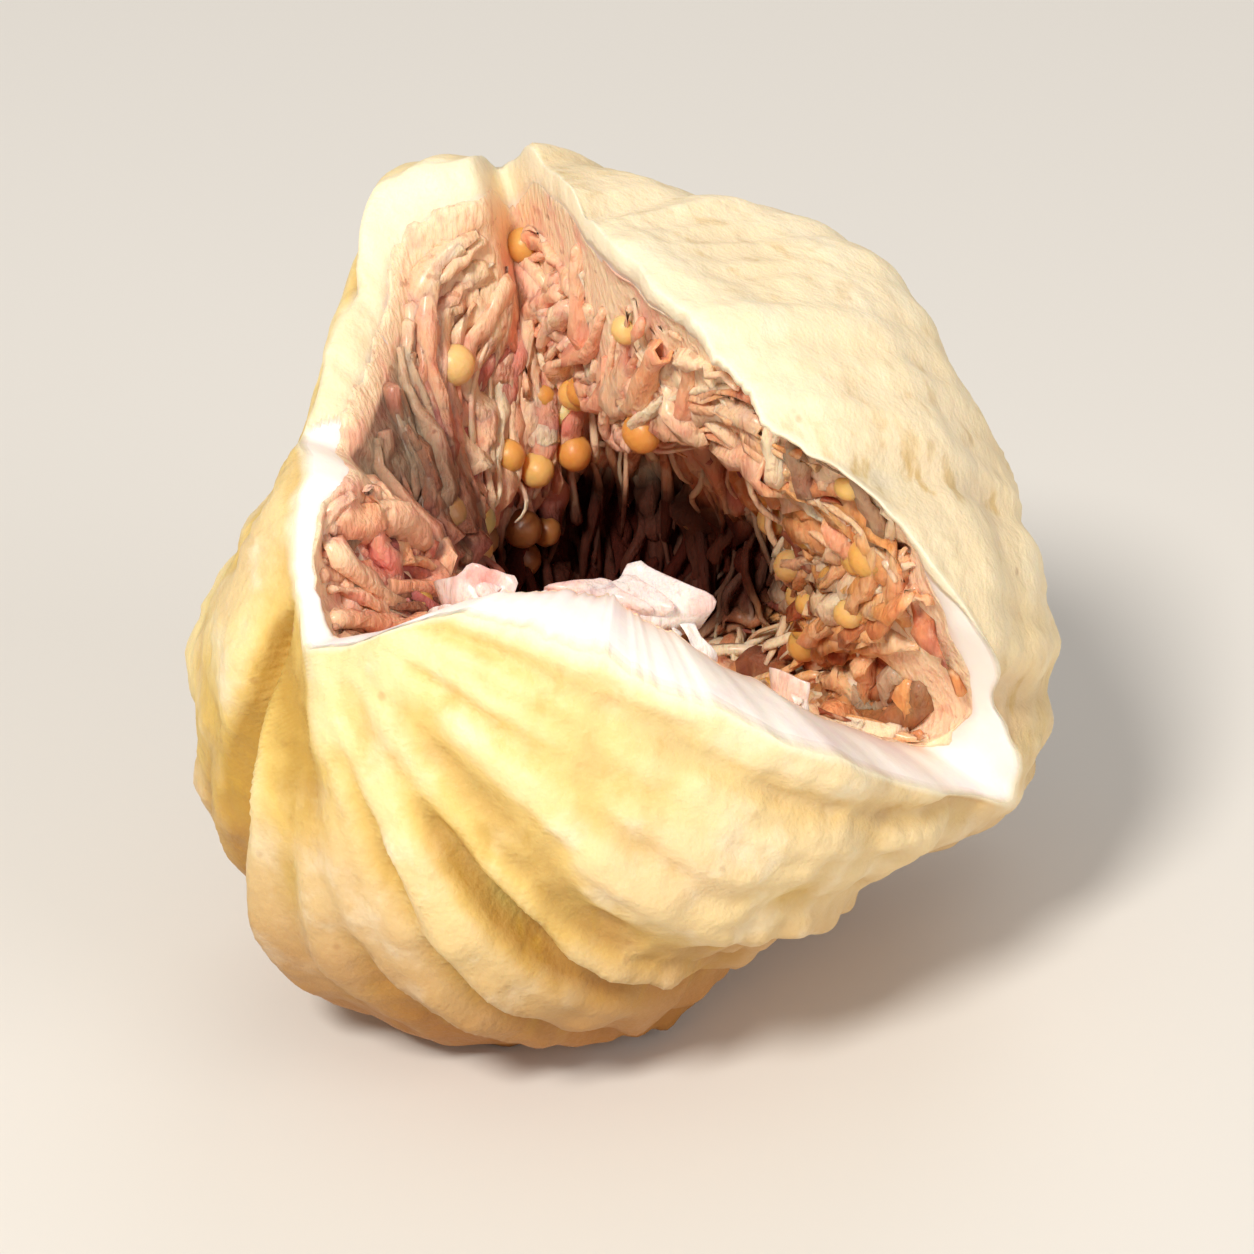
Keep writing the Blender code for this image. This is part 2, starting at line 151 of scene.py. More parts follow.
@dataclass(frozen=True)
class FigForm:
    """The fig's shape, as a radius for each way from its middle, the same as in the solids.

    The lumps are turn, tilt, height and spread, and the rim's rows are the turn round the mouth,
    the rim's angle, the flesh's lean and the wall in millimetres.
    """

    lean_deg: float = 28.0
    centre_height: float = 12.7 * MM
    ball_radius: float = 13.1 * MM
    lumps: tuple = (
        (-18.0, 0.0, 1.6 * MM, 24.0),
        (-56.0, 0.0, -2.2 * MM, 27.0),
        (-130.0, 0.0, 2.1 * MM, 36.0),
        (150.0, 0.0, -2.3 * MM, 24.0),
        (110.0, 0.0, 2.4 * MM, 26.0),
        (46.0, 0.0, 1.0 * MM, 28.0),
        (-100.0, 62.0, 0.8 * MM, 30.0),
        (20.0, 50.0, 0.8 * MM, 26.0),
    )
    stem_way: Triple = (0.70, -0.10, -0.705)
    neck_bells: tuple = ((2.6 * MM, 25.0), (1.9 * MM, 9.5))
    rib_sets: tuple = ((9, 0.32 * MM, 0.4), (25, 0.54 * MM, 0.7), (43, 0.22 * MM, 0.9))
    rib_middle: float = 0.6
    rib_softness: float = 0.04
    patch_waves: float = 5.0
    patch_share: float = 0.55
    knob_waves: float = 12.0
    knob_share: float = 0.35
    knob_height: float = 0.17 * MM
    rib_wander: float = 0.13
    rib_wander_waves: float = 2.6
    rib_unevenness: float = 0.2
    rib_uneven_waves: float = 3.1
    dimple_height: float = 0.27 * MM
    dimple_waves: float = 9.0
    calm_way: Span = (32.0, 34.0)
    calm_spread_deg: float = 58.0
    calm_share: float = 0.72
    flap_way: Span = (192.0, 26.0)
    flap_spread_deg: float = 30.0
    flap_share: float = 0.85
    flap_folds: int = 5
    flap_fold_height: float = 0.30 * MM
    flap_fold_waves: Span = (6.0, 5.0)
    fold_depth: float = 1.15 * MM
    fold_turn_deg: float = -54.0
    fold_width_deg: float = 6.5
    fold_reach_deg: Span = (4.0, 88.0)
    fold_ease_deg: Span = (8.0, 30.0)
    fold_core_share: float = 1.05
    roll_waves: int = 7
    roll_spread: Span = (0.7, 1.3)
    mouth_way: Triple = (0.05, 0.27, 0.96)
    rim: tuple = (
        (-170.0, 50.2, -0.8, 0.6), (-160.0, 50.0, -1.5, 0.7), (-155.0, 42.0, -4.0, 0.9),
        (-151.0, 31.0, -4.5, 1.1), (-146.0, 26.5, -5.0, 1.3), (-128.0, 21.7, -6.5, 1.8),
        (-98.0, 21.0, -8.0, 2.2), (-66.0, 30.0, -9.5, 2.8), (-48.0, 45.0, -10.0, 3.1),
        (-36.0, 67.0, -9.0, 3.1), (-26.0, 90.0, -8.0, 2.8), (-20.0, 77.0, -1.0, 1.6),
        (-14.0, 54.5, 3.0, 1.2), (-8.0, 44.5, 4.0, 1.0), (7.0, 32.5, 5.0, 0.9),
        (16.0, 25.0, 5.0, 0.9), (29.0, 20.5, 5.0, 0.9), (60.0, 23.0, 5.0, 0.9),
        (82.0, 31.0, 4.0, 1.0), (92.0, 42.0, 3.0, 1.2), (96.0, 52.0, 1.0, 1.5),
        (99.0, 68.0, 0.0, 1.9), (103.0, 88.0, 0.0, 2.0), (107.5, 71.0, 0.0, 2.1),
        (121.0, 73.0, 0.0, 2.3), (133.0, 69.5, 0.0, 2.3), (150.0, 62.0, -1.0, 2.0),
        (156.5, 63.0, -2.0, 1.9), (158.0, 62.0, -3.0, 2.0), (162.0, 54.0, -4.0, 2.1),
        (167.0, 51.0, -3.5, 1.7), (173.0, 50.5, -1.5, 0.9), (180.0, 50.2, -0.8, 0.7),
    )
    rim_step_deg: float = 0.5
    rim_soften_deg: float = 1.0
    rim_soften_steps: int = 12
    rim_crown_deg: float = 1.6
    rim_crown_power: float = 0.7
    ragged_waves: tuple[int, ...] = (23, 37, 58, 83)
    ragged_deg: float = 0.13
    hang_shares: tuple[float, ...] = (0.8, 0.5, 0.2, 0.0)
    hang_least_deg: float = -1.2
    hang_from: Span = (0.05, 0.4)
    wall_inside: float = 1.8 * MM
    wall_ease_deg: float = 30.0
    rim_length_share: float = 0.6
    row_crowding: float = 1.15
    even_from_share: float = 0.85
    shift_grid: tuple[int, int] = (168, 54)
    lining_edge: float = 0.12 * MM
    lining_shoulder: float = 1.9 * MM
    lining_shoulder_deg: float = 9.0
    lining_thickness: float = 4.2 * MM
    lining_taper_deg: float = 36.0
    lining_lump: float = 0.45 * MM
    lining_lump_waves: float = 7.0
    lining_mounds: tuple = (
        ((-0.10, 0.86, 0.42), 34.0, 3.1 * MM),
        ((-0.86, 0.06, 0.50), 15.0, 2.0 * MM),
        ((0.86, -0.10, 0.30), 26.0, 0.9 * MM),
        ((0.20, 0.30, -0.93), 34.0, -1.3 * MM),
    )
    mound_ease_deg: float = 16.0
    last_polar_deg: float = 176.0

    @cached_property
    def mouth(self) -> tuple[Array, Array, Array]:
        """Right, up and out at the mouth."""
        return axes_about(self.mouth_way)

    @cached_property
    def stem(self) -> tuple[Array, Array, Array]:
        """Right, up and out at the stem."""
        return axes_about(self.stem_way)

    @cached_property
    def soft_rim(self) -> list[Array]:
        """Turns round the mouth, then the rim's angle, flesh lean and wall there, softened."""
        step = self.rim_step_deg
        fine = np.arange(-180.0, 180.0, step)
        shifts = range(-self.rim_soften_steps, self.rim_soften_steps + 1)
        weights = [math.exp(-0.5 * (shift * step / self.rim_soften_deg) ** 2) for shift in shifts]
        turns, *columns = (np.array(sorted(self.rim)) * (1.0, 1.0, 1.0, MM)).T
        found = [fine]
        for column in columns:
            values = np.interp(fine, turns, column, period=360.0)
            soft = sum(weight * np.roll(values, shift) for weight, shift in zip(weights, shifts))
            found.append(soft / sum(weights))
        return found

    @cached_property
    def shift(self) -> Array:
        """What moves the middle of the footprint's box to x = y = 0."""
        columns, rows = self.shift_grid
        turns = self.rim_turns(columns)
        turn, polar = self.grid(turns, self.rim_values(turns)[0], self.shares(rows))
        ways = self.mouth_ways(turn, polar)
        standing = self.stand(ways * self.outside(ways)[..., None]).reshape(-1, 3)
        middle = 0.5 * (standing.min(axis=0) + standing.max(axis=0))
        return np.array([-middle[0], -middle[1], 0.0])

    @cached_property
    def middle(self) -> Array:
        """The middle that the radii start from, on the finished fig."""
        return np.array([0.0, 0.0, self.centre_height]) + self.shift

    def face_way(self, turn_deg: float, tilt_deg: float) -> Array:
        """A way, from its turn round the face and its tilt out of it."""
        turn, tilt = math.radians(turn_deg), math.radians(tilt_deg)
        flat = math.cos(tilt)
        return np.array([flat * math.cos(turn), flat * math.sin(turn), math.sin(tilt)])

    def mouth_ways(self, turn_deg: Array, polar_deg: Array) -> Array:
        """Ways, from their turns round the mouth and angles from its axis."""
        right, up, out = self.mouth
        turn, polar = np.radians(turn_deg)[..., None], np.radians(polar_deg)[..., None]
        return np.cos(polar) * out + np.sin(polar) * (np.cos(turn) * right + np.sin(turn) * up)

    def mouth_turns(self, ways: Array) -> tuple[Array, Array]:
        """Turns round the mouth and angles from its axis, from ways."""
        right, up, out = self.mouth
        return np.degrees(np.arctan2(ways @ up, ways @ right)), angle_deg(ways, out)

    def past_rim(self, ways: Array) -> tuple[Array, Array, Array]:
        """Turns round the mouth, angles from its axis and degrees past the rim's inner edge."""
        turns, polar = self.mouth_turns(ways)
        rim, lean, _ = self.rim_values(turns)
        return turns, polar, polar - rim - lean

    def rim_values(self, turn_deg: Array) -> list[Array]:
        """The rim's angle, flesh lean and wall at some turns round the mouth."""
        fine, *columns = self.soft_rim
        rim, lean, wall = (np.interp(turn_deg, fine, column, period=360.0) for column in columns)
        turn = np.radians(turn_deg)
        waves = self.ragged_waves
        ragged = sum(np.sin(count * turn + 3.0 * np.sin(5.0 * turn + count)) for count in waves)
        return [rim + self.ragged_deg * ragged, lean, wall]

    def rim_turns(self, count: int) -> Array:
        """Turns round the mouth for columns, closer together where the rim runs steeply."""
        fine = np.linspace(-180.0, 180.0, 1441)
        rim = self.mouth_ways(fine, self.rim_values(fine)[0])
        steps = np.linalg.norm(np.diff(rim, axis=0), axis=1)
        along = np.concatenate([[0.0], np.cumsum(steps)])
        share = self.rim_length_share * along / along[-1]
        share += (1.0 - self.rim_length_share) * (fine + 180.0) / 360.0
        return np.interp(np.arange(count) / count, share, fine)

    def shares(self, rows: int) -> Array:
        """Shares of the way from the rim to the far pole, closer together at the rim."""
        return (np.arange(1, rows + 1) / (rows + 1.0)) ** self.row_crowding

    def grid(self, turns: Array, start_deg: Array, shares: Array) -> tuple[Array, Array]:
        """Rows that follow a rim and spread out evenly to the far pole.

        Args:
            turns: The columns' turns round the mouth.
            start_deg: The rim's angle at each column.
            shares: How far each row is on its way to the far pole.

        Returns:
            The turn and the angle of every point.
        """
        count = len(turns)
        even = turns[0] + 360.0 * np.arange(count) / count
        even += np.mean(turns - even)
        loose = smooth_step(shares / self.even_from_share)[:, None]
        polar = start_deg + (180.0 - start_deg) * shares[:, None]
        return (1.0 - loose) * turns + loose * even, polar

    def rolling(self, ways: Array, waves: float, seed: int) -> Array:
        """A soft random roll between about -1 and 1, made of sine waves."""
        random = np.random.default_rng(seed)
        total = np.zeros(ways.shape[:-1])
        for _ in range(self.roll_waves):
            way = unit(random.normal(size=3)) * waves * random.uniform(*self.roll_spread)
            total += np.sin(ways @ way + random.uniform(0.0, math.tau))
        return total / math.sqrt(self.roll_waves)

    def body(self, ways: Array) -> Array:
        """The radius without neck and ribs."""
        radius = np.full(ways.shape[:-1], self.ball_radius)
        for turn, tilt, height, spread in self.lumps:
            radius = radius + height * bell(ways, self.face_way(turn, tilt), spread)
        return radius

    def neck(self, ways: Array) -> Array:
        """How much the neck adds round the stem."""
        return sum(height * bell(ways, self.stem_way, spread) for height, spread in self.neck_bells)

    def stem_turn(self, ways: Array) -> Array:
        """Turns round the stem in radians."""
        right, up, _ = self.stem
        return np.arctan2(ways @ up, ways @ right)

    def calm(self, ways: Array) -> Array:
        """How much a place belongs to the mouth's smooth lid, up to 1."""
        return bell(ways, self.face_way(*self.calm_way), self.calm_spread_deg)

    def flap(self, ways: Array) -> Array:
        """How much a place belongs to the flap left of the mouth, up to 1."""
        return bell(ways, self.face_way(*self.flap_way), self.flap_spread_deg)

    def rib_waves(self, ways: Array) -> list[Array]:
        """For each set of ribs, 0 in its soft valleys and 1 on its crests."""
        wander = self.rib_wander * self.rolling(ways, self.rib_wander_waves, 3)
        turn = self.stem_turn(ways) + wander
        low = math.sqrt(self.rib_softness)
        high = math.sqrt(1.0 + self.rib_softness)
        waves = [np.sin(0.5 * count * turn) ** 2 for count, _, _ in self.rib_sets]
        return [(np.sqrt(wave + self.rib_softness) - low) / (high - low) for wave in waves]

    def fold(self, ways: Array) -> Array:
        """The deep fold by the mouth's left end, 1 along its bottom."""
        from_eye = 180.0 - angle_deg(ways, self.stem[2])
        start, end = self.fold_reach_deg
        ease_in, ease_out = self.fold_ease_deg
        turn = np.degrees(self.stem_turn(ways))
        beside = (turn - self.fold_turn_deg + 180.0) % 360.0 - 180.0
        reach = smooth_step((from_eye - start) / ease_in) * smooth_step((end - from_eye) / ease_out)
        return reach * np.exp(-((beside / self.fold_width_deg) ** 2))

    def ribs(self, ways: Array) -> Array:
        """Ribs, the dimples between them and the deep fold."""
        away = np.radians(angle_deg(ways, self.stem[2]))
        strength = 1.0 - self.rib_unevenness * (1.0 - self.rolling(ways, self.rib_uneven_waves, 5))
        strength = strength * (1.0 - self.calm_share * self.calm(ways))
        strength = strength * (1.0 - self.flap_share * self.flap(ways))
        strength = strength * (1.0 + self.patch_share * self.rolling(ways, self.patch_waves, 6))
        strength = strength * (1.0 + self.knob_share * self.rolling(ways, self.knob_waves, 9))
        height = self.dimple_height * self.rolling(ways, self.dimple_waves, 7)
        height = height + self.knob_height * self.rolling(ways, 1.5 * self.knob_waves, 8)
        for (_, tall, fade), wave in zip(self.rib_sets, self.rib_waves(ways)):
            height = height + tall * strength * np.sin(away) ** fade * (wave - self.rib_middle)
        stretch, waves = self.flap_fold_waves
        across = ways[..., 0] * stretch + 0.5 * self.rolling(ways, waves, 10)
        folds = self.flap_fold_height * np.cos(self.flap_folds * across)
        return height + folds * self.flap(ways) - self.fold_depth * self.fold(ways)

    def outside(self, ways: Array) -> Array:
        """The radius of the skin."""
        return self.body(ways) + self.neck(ways) + self.ribs(ways)

    def core(self, ways: Array) -> Array:
        """The radius without neck and ribs, drawn in under the deep fold."""
        return self.body(ways) - self.fold_core_share * self.fold_depth * self.fold(ways)

    def wall(self, ways: Array, wall_at_rim: Array, past: Array) -> Array:
        """The radius of the wall's inner face, some degrees past the rim."""
        ease = smooth_step(past / self.wall_ease_deg)
        return self.core(ways) - (wall_at_rim * (1.0 - ease) + self.wall_inside * ease)

    def lining(self, ways: Array, wall_at_rim: Array, past: Array) -> Array:
        """The radius of the pulp's face.

        Args:
            ways: Ways from the middle.
            wall_at_rim: How thick the wall is at the rim nearest to each.
            past: How many degrees past the rim each is.

        Returns:
            The radii.
        """
        ease = smooth_step(past / self.lining_taper_deg)
        shoulder = smooth_step(0.5 + 0.5 * past / self.lining_shoulder_deg) * 2.0 - 1.0
        rise = (self.lining_shoulder - self.lining_edge) * np.maximum(shoulder, 0.0)
        thick = self.lining_edge + rise + (self.lining_thickness - self.lining_shoulder) * ease
        thick = thick + self.lining_lump * ease * self.rolling(ways, self.lining_lump_waves, 17)
        for way, spread, height in self.lining_mounds:
            inside = smooth_step(past / self.mound_ease_deg)
            thick = thick + height * bell(ways, way, spread) * inside
        return self.wall(ways, wall_at_rim, past) - thick

    def band(self, turns: Array, share: Array) -> tuple[Array, Array]:
        """The rim's cut face.

        Args:
            turns: Turns round the mouth.
            share: How far across the face, from 0 at the skin to 1 at its inner edge.

        Returns:
            The ways of its points from the middle, and their radii.
        """
        rim, lean, wall = self.rim_values(turns)
        at_skin = self.outside(self.mouth_ways(turns, rim))
        at_flesh = self.core(self.mouth_ways(turns, rim + lean)) - wall
        crown = self.rim_crown_deg * np.sin(math.pi * share) ** self.rim_crown_power
        ways = self.mouth_ways(np.broadcast_to(turns, crown.shape), rim + lean * share - crown)
        return ways, at_skin + (at_flesh - at_skin) * share

    def on_lining(self, turn: Array, past: Array, inward: Array) -> Array:
        """Standing points over the pulp's face.

        Args:
            turn: Turns round the mouth in degrees.
            past: Degrees past the rim's inner edge.
            inward: How far each point is off the face towards the hollow.

        Returns:
            The points, where they are on the finished fig.
        """
        rim, lean, wall = self.rim_values(turn)
        ways = self.mouth_ways(turn, np.minimum(rim + lean + past, self.last_polar_deg))
        radius = self.lining(ways, wall, past) - inward
        return self.place(ways * radius[..., None])

    def hanging(
        self, turn: float, past: float, arc_deg: Array, slant_deg: float
    ) -> tuple[Array, Array]:
        """A line over the pulp's face that hangs down the upper wall and runs inwards elsewhere.

        Args:
            turn: The turn round the mouth of the place that the line goes through.
            past: How many degrees past the rim that place is.
            arc_deg: How far each point is from that place, along the line.
            slant_deg: How far the line slants to one side.

        Returns:
            The points' turns round the mouth, and their degrees past the rim.
        """
        rim, lean, _ = self.rim_values(np.array(turn))
        start = self.mouth_ways(np.array(turn), rim + lean + past)
        inwards = unit((self.mouth[2] @ start) * start - self.mouth[2])
        down = unit(np.array([0.0, -1.0, 0.0]) + start[1] * start)
        low, ease = self.hang_from
        most = float(smooth_step((start[1] - low) / ease))
        slant, arc = math.radians(slant_deg), np.radians(arc_deg)[:, None]
        for share in self.hang_shares:
            course = unit(share * most * down + (1.0 - share * most) * inwards)
            course = math.cos(slant) * course + math.sin(slant) * np.cross(start, course)
            turns, _, pasts = self.past_rim(np.cos(arc) * start + np.sin(arc) * course)
            if pasts.min() > self.hang_least_deg:
                break
        return turns, np.maximum(pasts, self.hang_least_deg)

    def turned(self, ways: Array) -> Array:
        """Points or ways of the face frame, leaned back as the fig is."""
        lean = math.radians(self.lean_deg)
        x, y, z = ways[..., 0], ways[..., 1], ways[..., 2]
        depth = y * math.sin(lean) - z * math.cos(lean)
        return np.stack([x, depth, y * math.cos(lean) + z * math.sin(lean)], axis=-1)

    def stand(self, points: Array) -> Array:
        """Points of the face frame, leaned back and lifted, and never below z = 0."""
        return np.maximum(self.turned(points) + (0.0, 0.0, self.centre_height), (-1.0, -1.0, 0.0))

    def place(self, points: Array) -> Array:
        """Points of the face frame, where they are on the finished fig."""
        return self.stand(points) + self.shift

    def face_ways(self, points: Array) -> Array:
        """Ways in the face frame from the fig's middle to points on the finished fig."""
        lean = math.radians(self.lean_deg)
        x, depth, height = np.moveaxis(points - self.middle, -1, 0)
        y = depth * math.sin(lean) + height * math.cos(lean)
        z = height * math.sin(lean) - depth * math.cos(lean)
        return unit(np.stack([x, y, z], axis=-1))


@dataclass
class Shape:
    """Points and faces gathered for one piece, with numbers kept at each point."""

    points: list[Array] = field(default_factory=list)
    faces: list[list[int]] = field(default_factory=list)
    kept: dict[str, list[Array]] = field(default_factory=dict)
    count: int = 0

    @property
    def number(self) -> float:
        """A number that is different for each body that the shape holds."""
        return 0.37 * len(self.points)

    def add(self, points: Array, faces: Sequence[Array], **kept: Any) -> None:
        """Adds one body.

        Args:
            points: Its points.
            faces: Groups of faces, each an array with a face in each row.
            kept: Numbers to keep, one for each point or one for all of them.
        """
        self.points.append(points)
        for group in faces:
            self.faces += (group + self.count).tolist()
        for name, values in kept.items():
            self.kept.setdefault(name, []).append(np.broadcast_to(values, len(points)))
        self.count += len(points)

    def piece(self, name: str) -> bpy.types.Object:
        """Makes the object, smooth, with its faces turned outwards.

        Args:
            name: The object's name.

        Returns:
            The object.
        """
        mesh = bpy.data.meshes.new(name)
        mesh.from_pydata(np.concatenate(self.points).tolist(), [], self.faces)
        bm = bmesh.new()
        bm.from_mesh(mesh)
        bmesh.ops.recalc_face_normals(bm, faces=bm.faces)
        bm.to_mesh(mesh)
        bm.free()
        for key, values in self.kept.items():
            layer = mesh.attributes.new(key, "FLOAT", "POINT")
            layer.data.foreach_set("value", np.concatenate(values).astype(np.float32))
        mesh.shade_smooth()
        made = bpy.data.objects.new(name, mesh)
        bpy.context.scene.collection.objects.link(made)
        return made

    def dressed(
        self, name: str, material: bpy.types.Material, replaced: str = ""
    ) -> bpy.types.Object:
        """Makes the object with its finish, and lets it ride on the fig.

        Args:
            name: The object's name.
            material: Its finish.
            replaced: The solid that it stands in for, if any.

        Returns:
            The object.
        """
        made = self.piece(name)
        made.data.materials.append(material)
        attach(made, "root")
        if replaced:
            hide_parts(replaced)
        return made


def ring_faces(rows: int, columns: int) -> Array:
    """Quads between closed rings of points."""
    row, column = np.meshgrid(np.arange(rows - 1), np.arange(columns), indexing="ij")
    near = row * columns + column
    beside = row * columns + (column + 1) % columns
    return np.stack([near, near + columns, beside + columns, beside], axis=-1).reshape(-1, 4)


def fan_faces(pole: int, first: int, columns: int, backwards: bool) -> Array:
    """Triangles from a pole to the ring whose first point is given."""
    near = first + np.arange(columns)
    beside = first + (np.arange(columns) + 1) % columns
    ends = (beside, near) if backwards else (near, beside)
    return np.stack([np.full(columns, pole), *ends], axis=-1)


def ball_faces(rows: int, columns: int) -> list[Array]:
    """Faces of rings with a pole before and after them, whose points come last."""
    last = rows * columns
    return [
        ring_faces(rows, columns),
        fan_faces(last, 0, columns, False),
        fan_faces(last + 1, last - columns, columns, True),
    ]


def tube(
    path: Array,
    flat_way: Array,
    wide: Array,
    thick: Array,
    sides: int,
    twist: Any = 0.0,
    order: Sequence[int] | None = None,
) -> tuple[Array, list[Array], Array]:
    """A closed tube along a path, as flat as asked, with rounded ends.

    Args:
        path: The middles of its rings.
        flat_way: The way that its flat side faces, for each ring.
        wide: Half of its width at each ring.
        thick: Half of its thickness at each ring.
        sides: Points round each ring.
        twist: How far each ring is turned, in radians.
        order: The path's points that the rings stand at, where they don't go straight along it.

    Returns:
        The points, the faces and how far along the path each point is.
    """
    end_share = 0.6
    along = unit(np.gradient(path, axis=0))
    across = unit(np.cross(along, flat_way))
    up = np.cross(across, along)
    at = np.arange(len(path)) if order is None else np.asarray(order)
    angle = math.tau * np.arange(sides) / sides
    turned = np.broadcast_to(twist, len(at))[:, None]
    level = np.cos(angle) * wide[:, None]
    raised = np.sin(angle) * thick[:, None]
    side = level * np.cos(turned) - raised * np.sin(turned)
    out = level * np.sin(turned) + raised * np.cos(turned)
    rings = path[at][:, None] + side[..., None] * across[at][:, None] + out[..., None] * up[at][:, None]
    first = path[at[0]] - along[at[0]] * thick[0] * end_share
    outward = 1.0 if at[-1] == len(path) - 1 else 0.0
    last = path[at[-1]] + along[at[-1]] * thick[-1] * end_share * outward
    points = np.concatenate([rings.reshape(-1, 3), [first, last]])
    share = np.repeat(at / (len(path) - 1.0), sides)
    return points, ball_faces(len(at), sides), np.concatenate([share, share[:1], share[-1:]])


class Socket:
    """A shader value that can be used in Python expressions."""

    def __init__(self, graph: "Graph", socket: bpy.types.NodeSocket) -> None:
        """Keeps the socket and the graph that it belongs to."""
        self.graph = graph
        self.socket = socket

    def _math(self, operation: str, first: Any, second: Any) -> "Socket":
        """One Math node on two values."""
        return self.graph.node("ShaderNodeMath", {"operation": operation}, {0: first, 1: second})

    def __add__(self, other: Any) -> "Socket":
        """The sum."""
        return self._math("ADD", self, other)

    __radd__ = __add__

    def __sub__(self, other: Any) -> "Socket":
        """The difference."""
        return self._math("SUBTRACT", self, other)

    def __rsub__(self, other: Any) -> "Socket":
        """The difference, the other way round."""
        return self._math("SUBTRACT", other, self)

    def __mul__(self, other: Any) -> "Socket":
        """The product."""
        return self._math("MULTIPLY", self, other)

    __rmul__ = __mul__

    def step(self, low: float, high: float) -> "Socket":
        """0 at the low value and below, 1 at the high value and above."""
        settings = {"interpolation_type": "SMOOTHSTEP"}
        return self.graph.node("ShaderNodeMapRange", settings, {0: self, 1: low, 2: high})


class Graph:
    """The nodes of one material, built round its Principled shader."""

    def __init__(self, name: str) -> None:
        """Starts a material with that name."""
        self.material = bpy.data.materials.new(name)
        self.material.use_nodes = True
        self.nodes = self.material.node_tree.nodes
        self.shader = self.nodes["Principled BSDF"]

    def node(
        self,
        kind: str,
        settings: Mapping[str, Any] | None = None,
        values: Mapping[int | str, Any] | None = None,
        output: int | str = 0,
    ) -> Socket:
        """Adds one node.

        Args:
            kind: Blender's name for the node's type.
            settings: Its settings, which are set first. The stops of a ramp are "stops".
            values: Numbers, colours or links for its sockets, by index or name.
            output: The output that is wanted.

        Returns:
            That output.
        """
        made = self.nodes.new(kind)
        for name, value in (settings or {}).items():
            if name == "stops":
                self._set_stops(made.color_ramp, value)
            else:
                setattr(made, name, value)
        for key, value in (values or {}).items():
            self.feed(made.inputs[key], value)
        return Socket(self, made.outputs[output])

    def feed(self, socket: bpy.types.NodeSocket, value: Any) -> None:
        """Links a value to a socket, or sets the socket to a number or colour."""
        if isinstance(value, Socket):
            self.material.node_tree.links.new(value.socket, socket)
        elif isinstance(value, tuple) and socket.type == "RGBA" and len(value) == 3:
            socket.default_value = (*value, 1.0)
        else:
            socket.default_value = value

    @staticmethod
    def _set_stops(ramp: bpy.types.ColorRamp, stops: Sequence[tuple[float, Colour]]) -> None:
        """Gives a ramp its stops, each a place and a colour."""
        while len(ramp.elements) < len(stops):
            ramp.elements.new(1.0)
        for element, (place, colour) in zip(ramp.elements, stops):
            element.position = place
            element.color = (*colour, 1.0)

    def kept(self, name: str) -> Socket:
        """A number that is kept at the mesh's points."""
        return self.node("ShaderNodeAttribute", {"attribute_name": name}, output="Fac")

    def place(self, stretch: Triple = (1.0, 1.0, 1.0)) -> Socket:
        """The place on the object in millimetres, stretched by some factors."""
        scale = tuple(1.0 / MM / factor for factor in stretch)
        where = self.node("ShaderNodeTexCoord", output="Object")
        return self.node("ShaderNodeVectorMath", {"operation": "MULTIPLY"}, {0: where, 1: scale})

    def noise(self, size_mm: float, detail: float = 3.0, where: Socket | None = None) -> Socket:
        """Soft noise from 0 to 1.

        Args:
            size_mm: About how far apart its bumps are.
            detail: How many finer layers it has.
            where: The place that it is read at, in millimetres.

        Returns:
            The noise.
        """
        values = {"Vector": where or self.place(), "Scale": 1.0 / size_mm, "Detail": detail}
        return self.node("ShaderNodeTexNoise", {}, values)

    def spots(self, size_mm: float) -> Socket:
        """How far it is to the nearest of some scattered points, from 0 to about 1."""
        return self.node("ShaderNodeTexVoronoi", {}, {"Vector": self.place(), "Scale": 1.0 / size_mm})

    def mix(self, share: Any, first: Any, second: Any) -> Socket:
        """A colour between two colours."""
        values = {0: share, 6: first, 7: second}
        return self.node("ShaderNodeMix", {"data_type": "RGBA"}, values, output=2)

    def layers(self, colour: Any, layers: Sequence[tuple[Any, Colour]]) -> Socket:
        """A colour with others laid over it in turn, each by its share."""
        for share, over in layers:
            colour = self.mix(share, colour, over)
        return colour

    def ramp(self, value: Socket, stops: Sequence[tuple[float, Colour]]) -> Socket:
        """A colour from a value."""
        return self.node("ShaderNodeValToRGB", {"stops": stops}, {0: value})

    def bump(self, height: Socket, depth_mm: float) -> Socket:
        """A normal that shows a height from 0 to 1 as relief."""
        return self.node("ShaderNodeBump", {}, {"Height": height, "Distance": depth_mm * MM})

    def finish(self, **values: Any) -> bpy.types.Material:
        """Sets the shader's sockets, with _ for a space in their names, and returns the material."""
        for name, value in values.items():
            self.feed(self.shader.inputs[name.replace("_", " ")], value)
        return self.material


def srgb(red: int, green: int, blue: int) -> Colour:
    """A colour as the shader needs it, from its values out of 255 on a screen."""

    def linear(value: float) -> float:
        """One channel."""
        return value / 12.92 if value <= 0.04045 else ((value + 0.055) / 1.055) ** 2.4

    return linear(red / 255), linear(green / 255), linear(blue / 255)


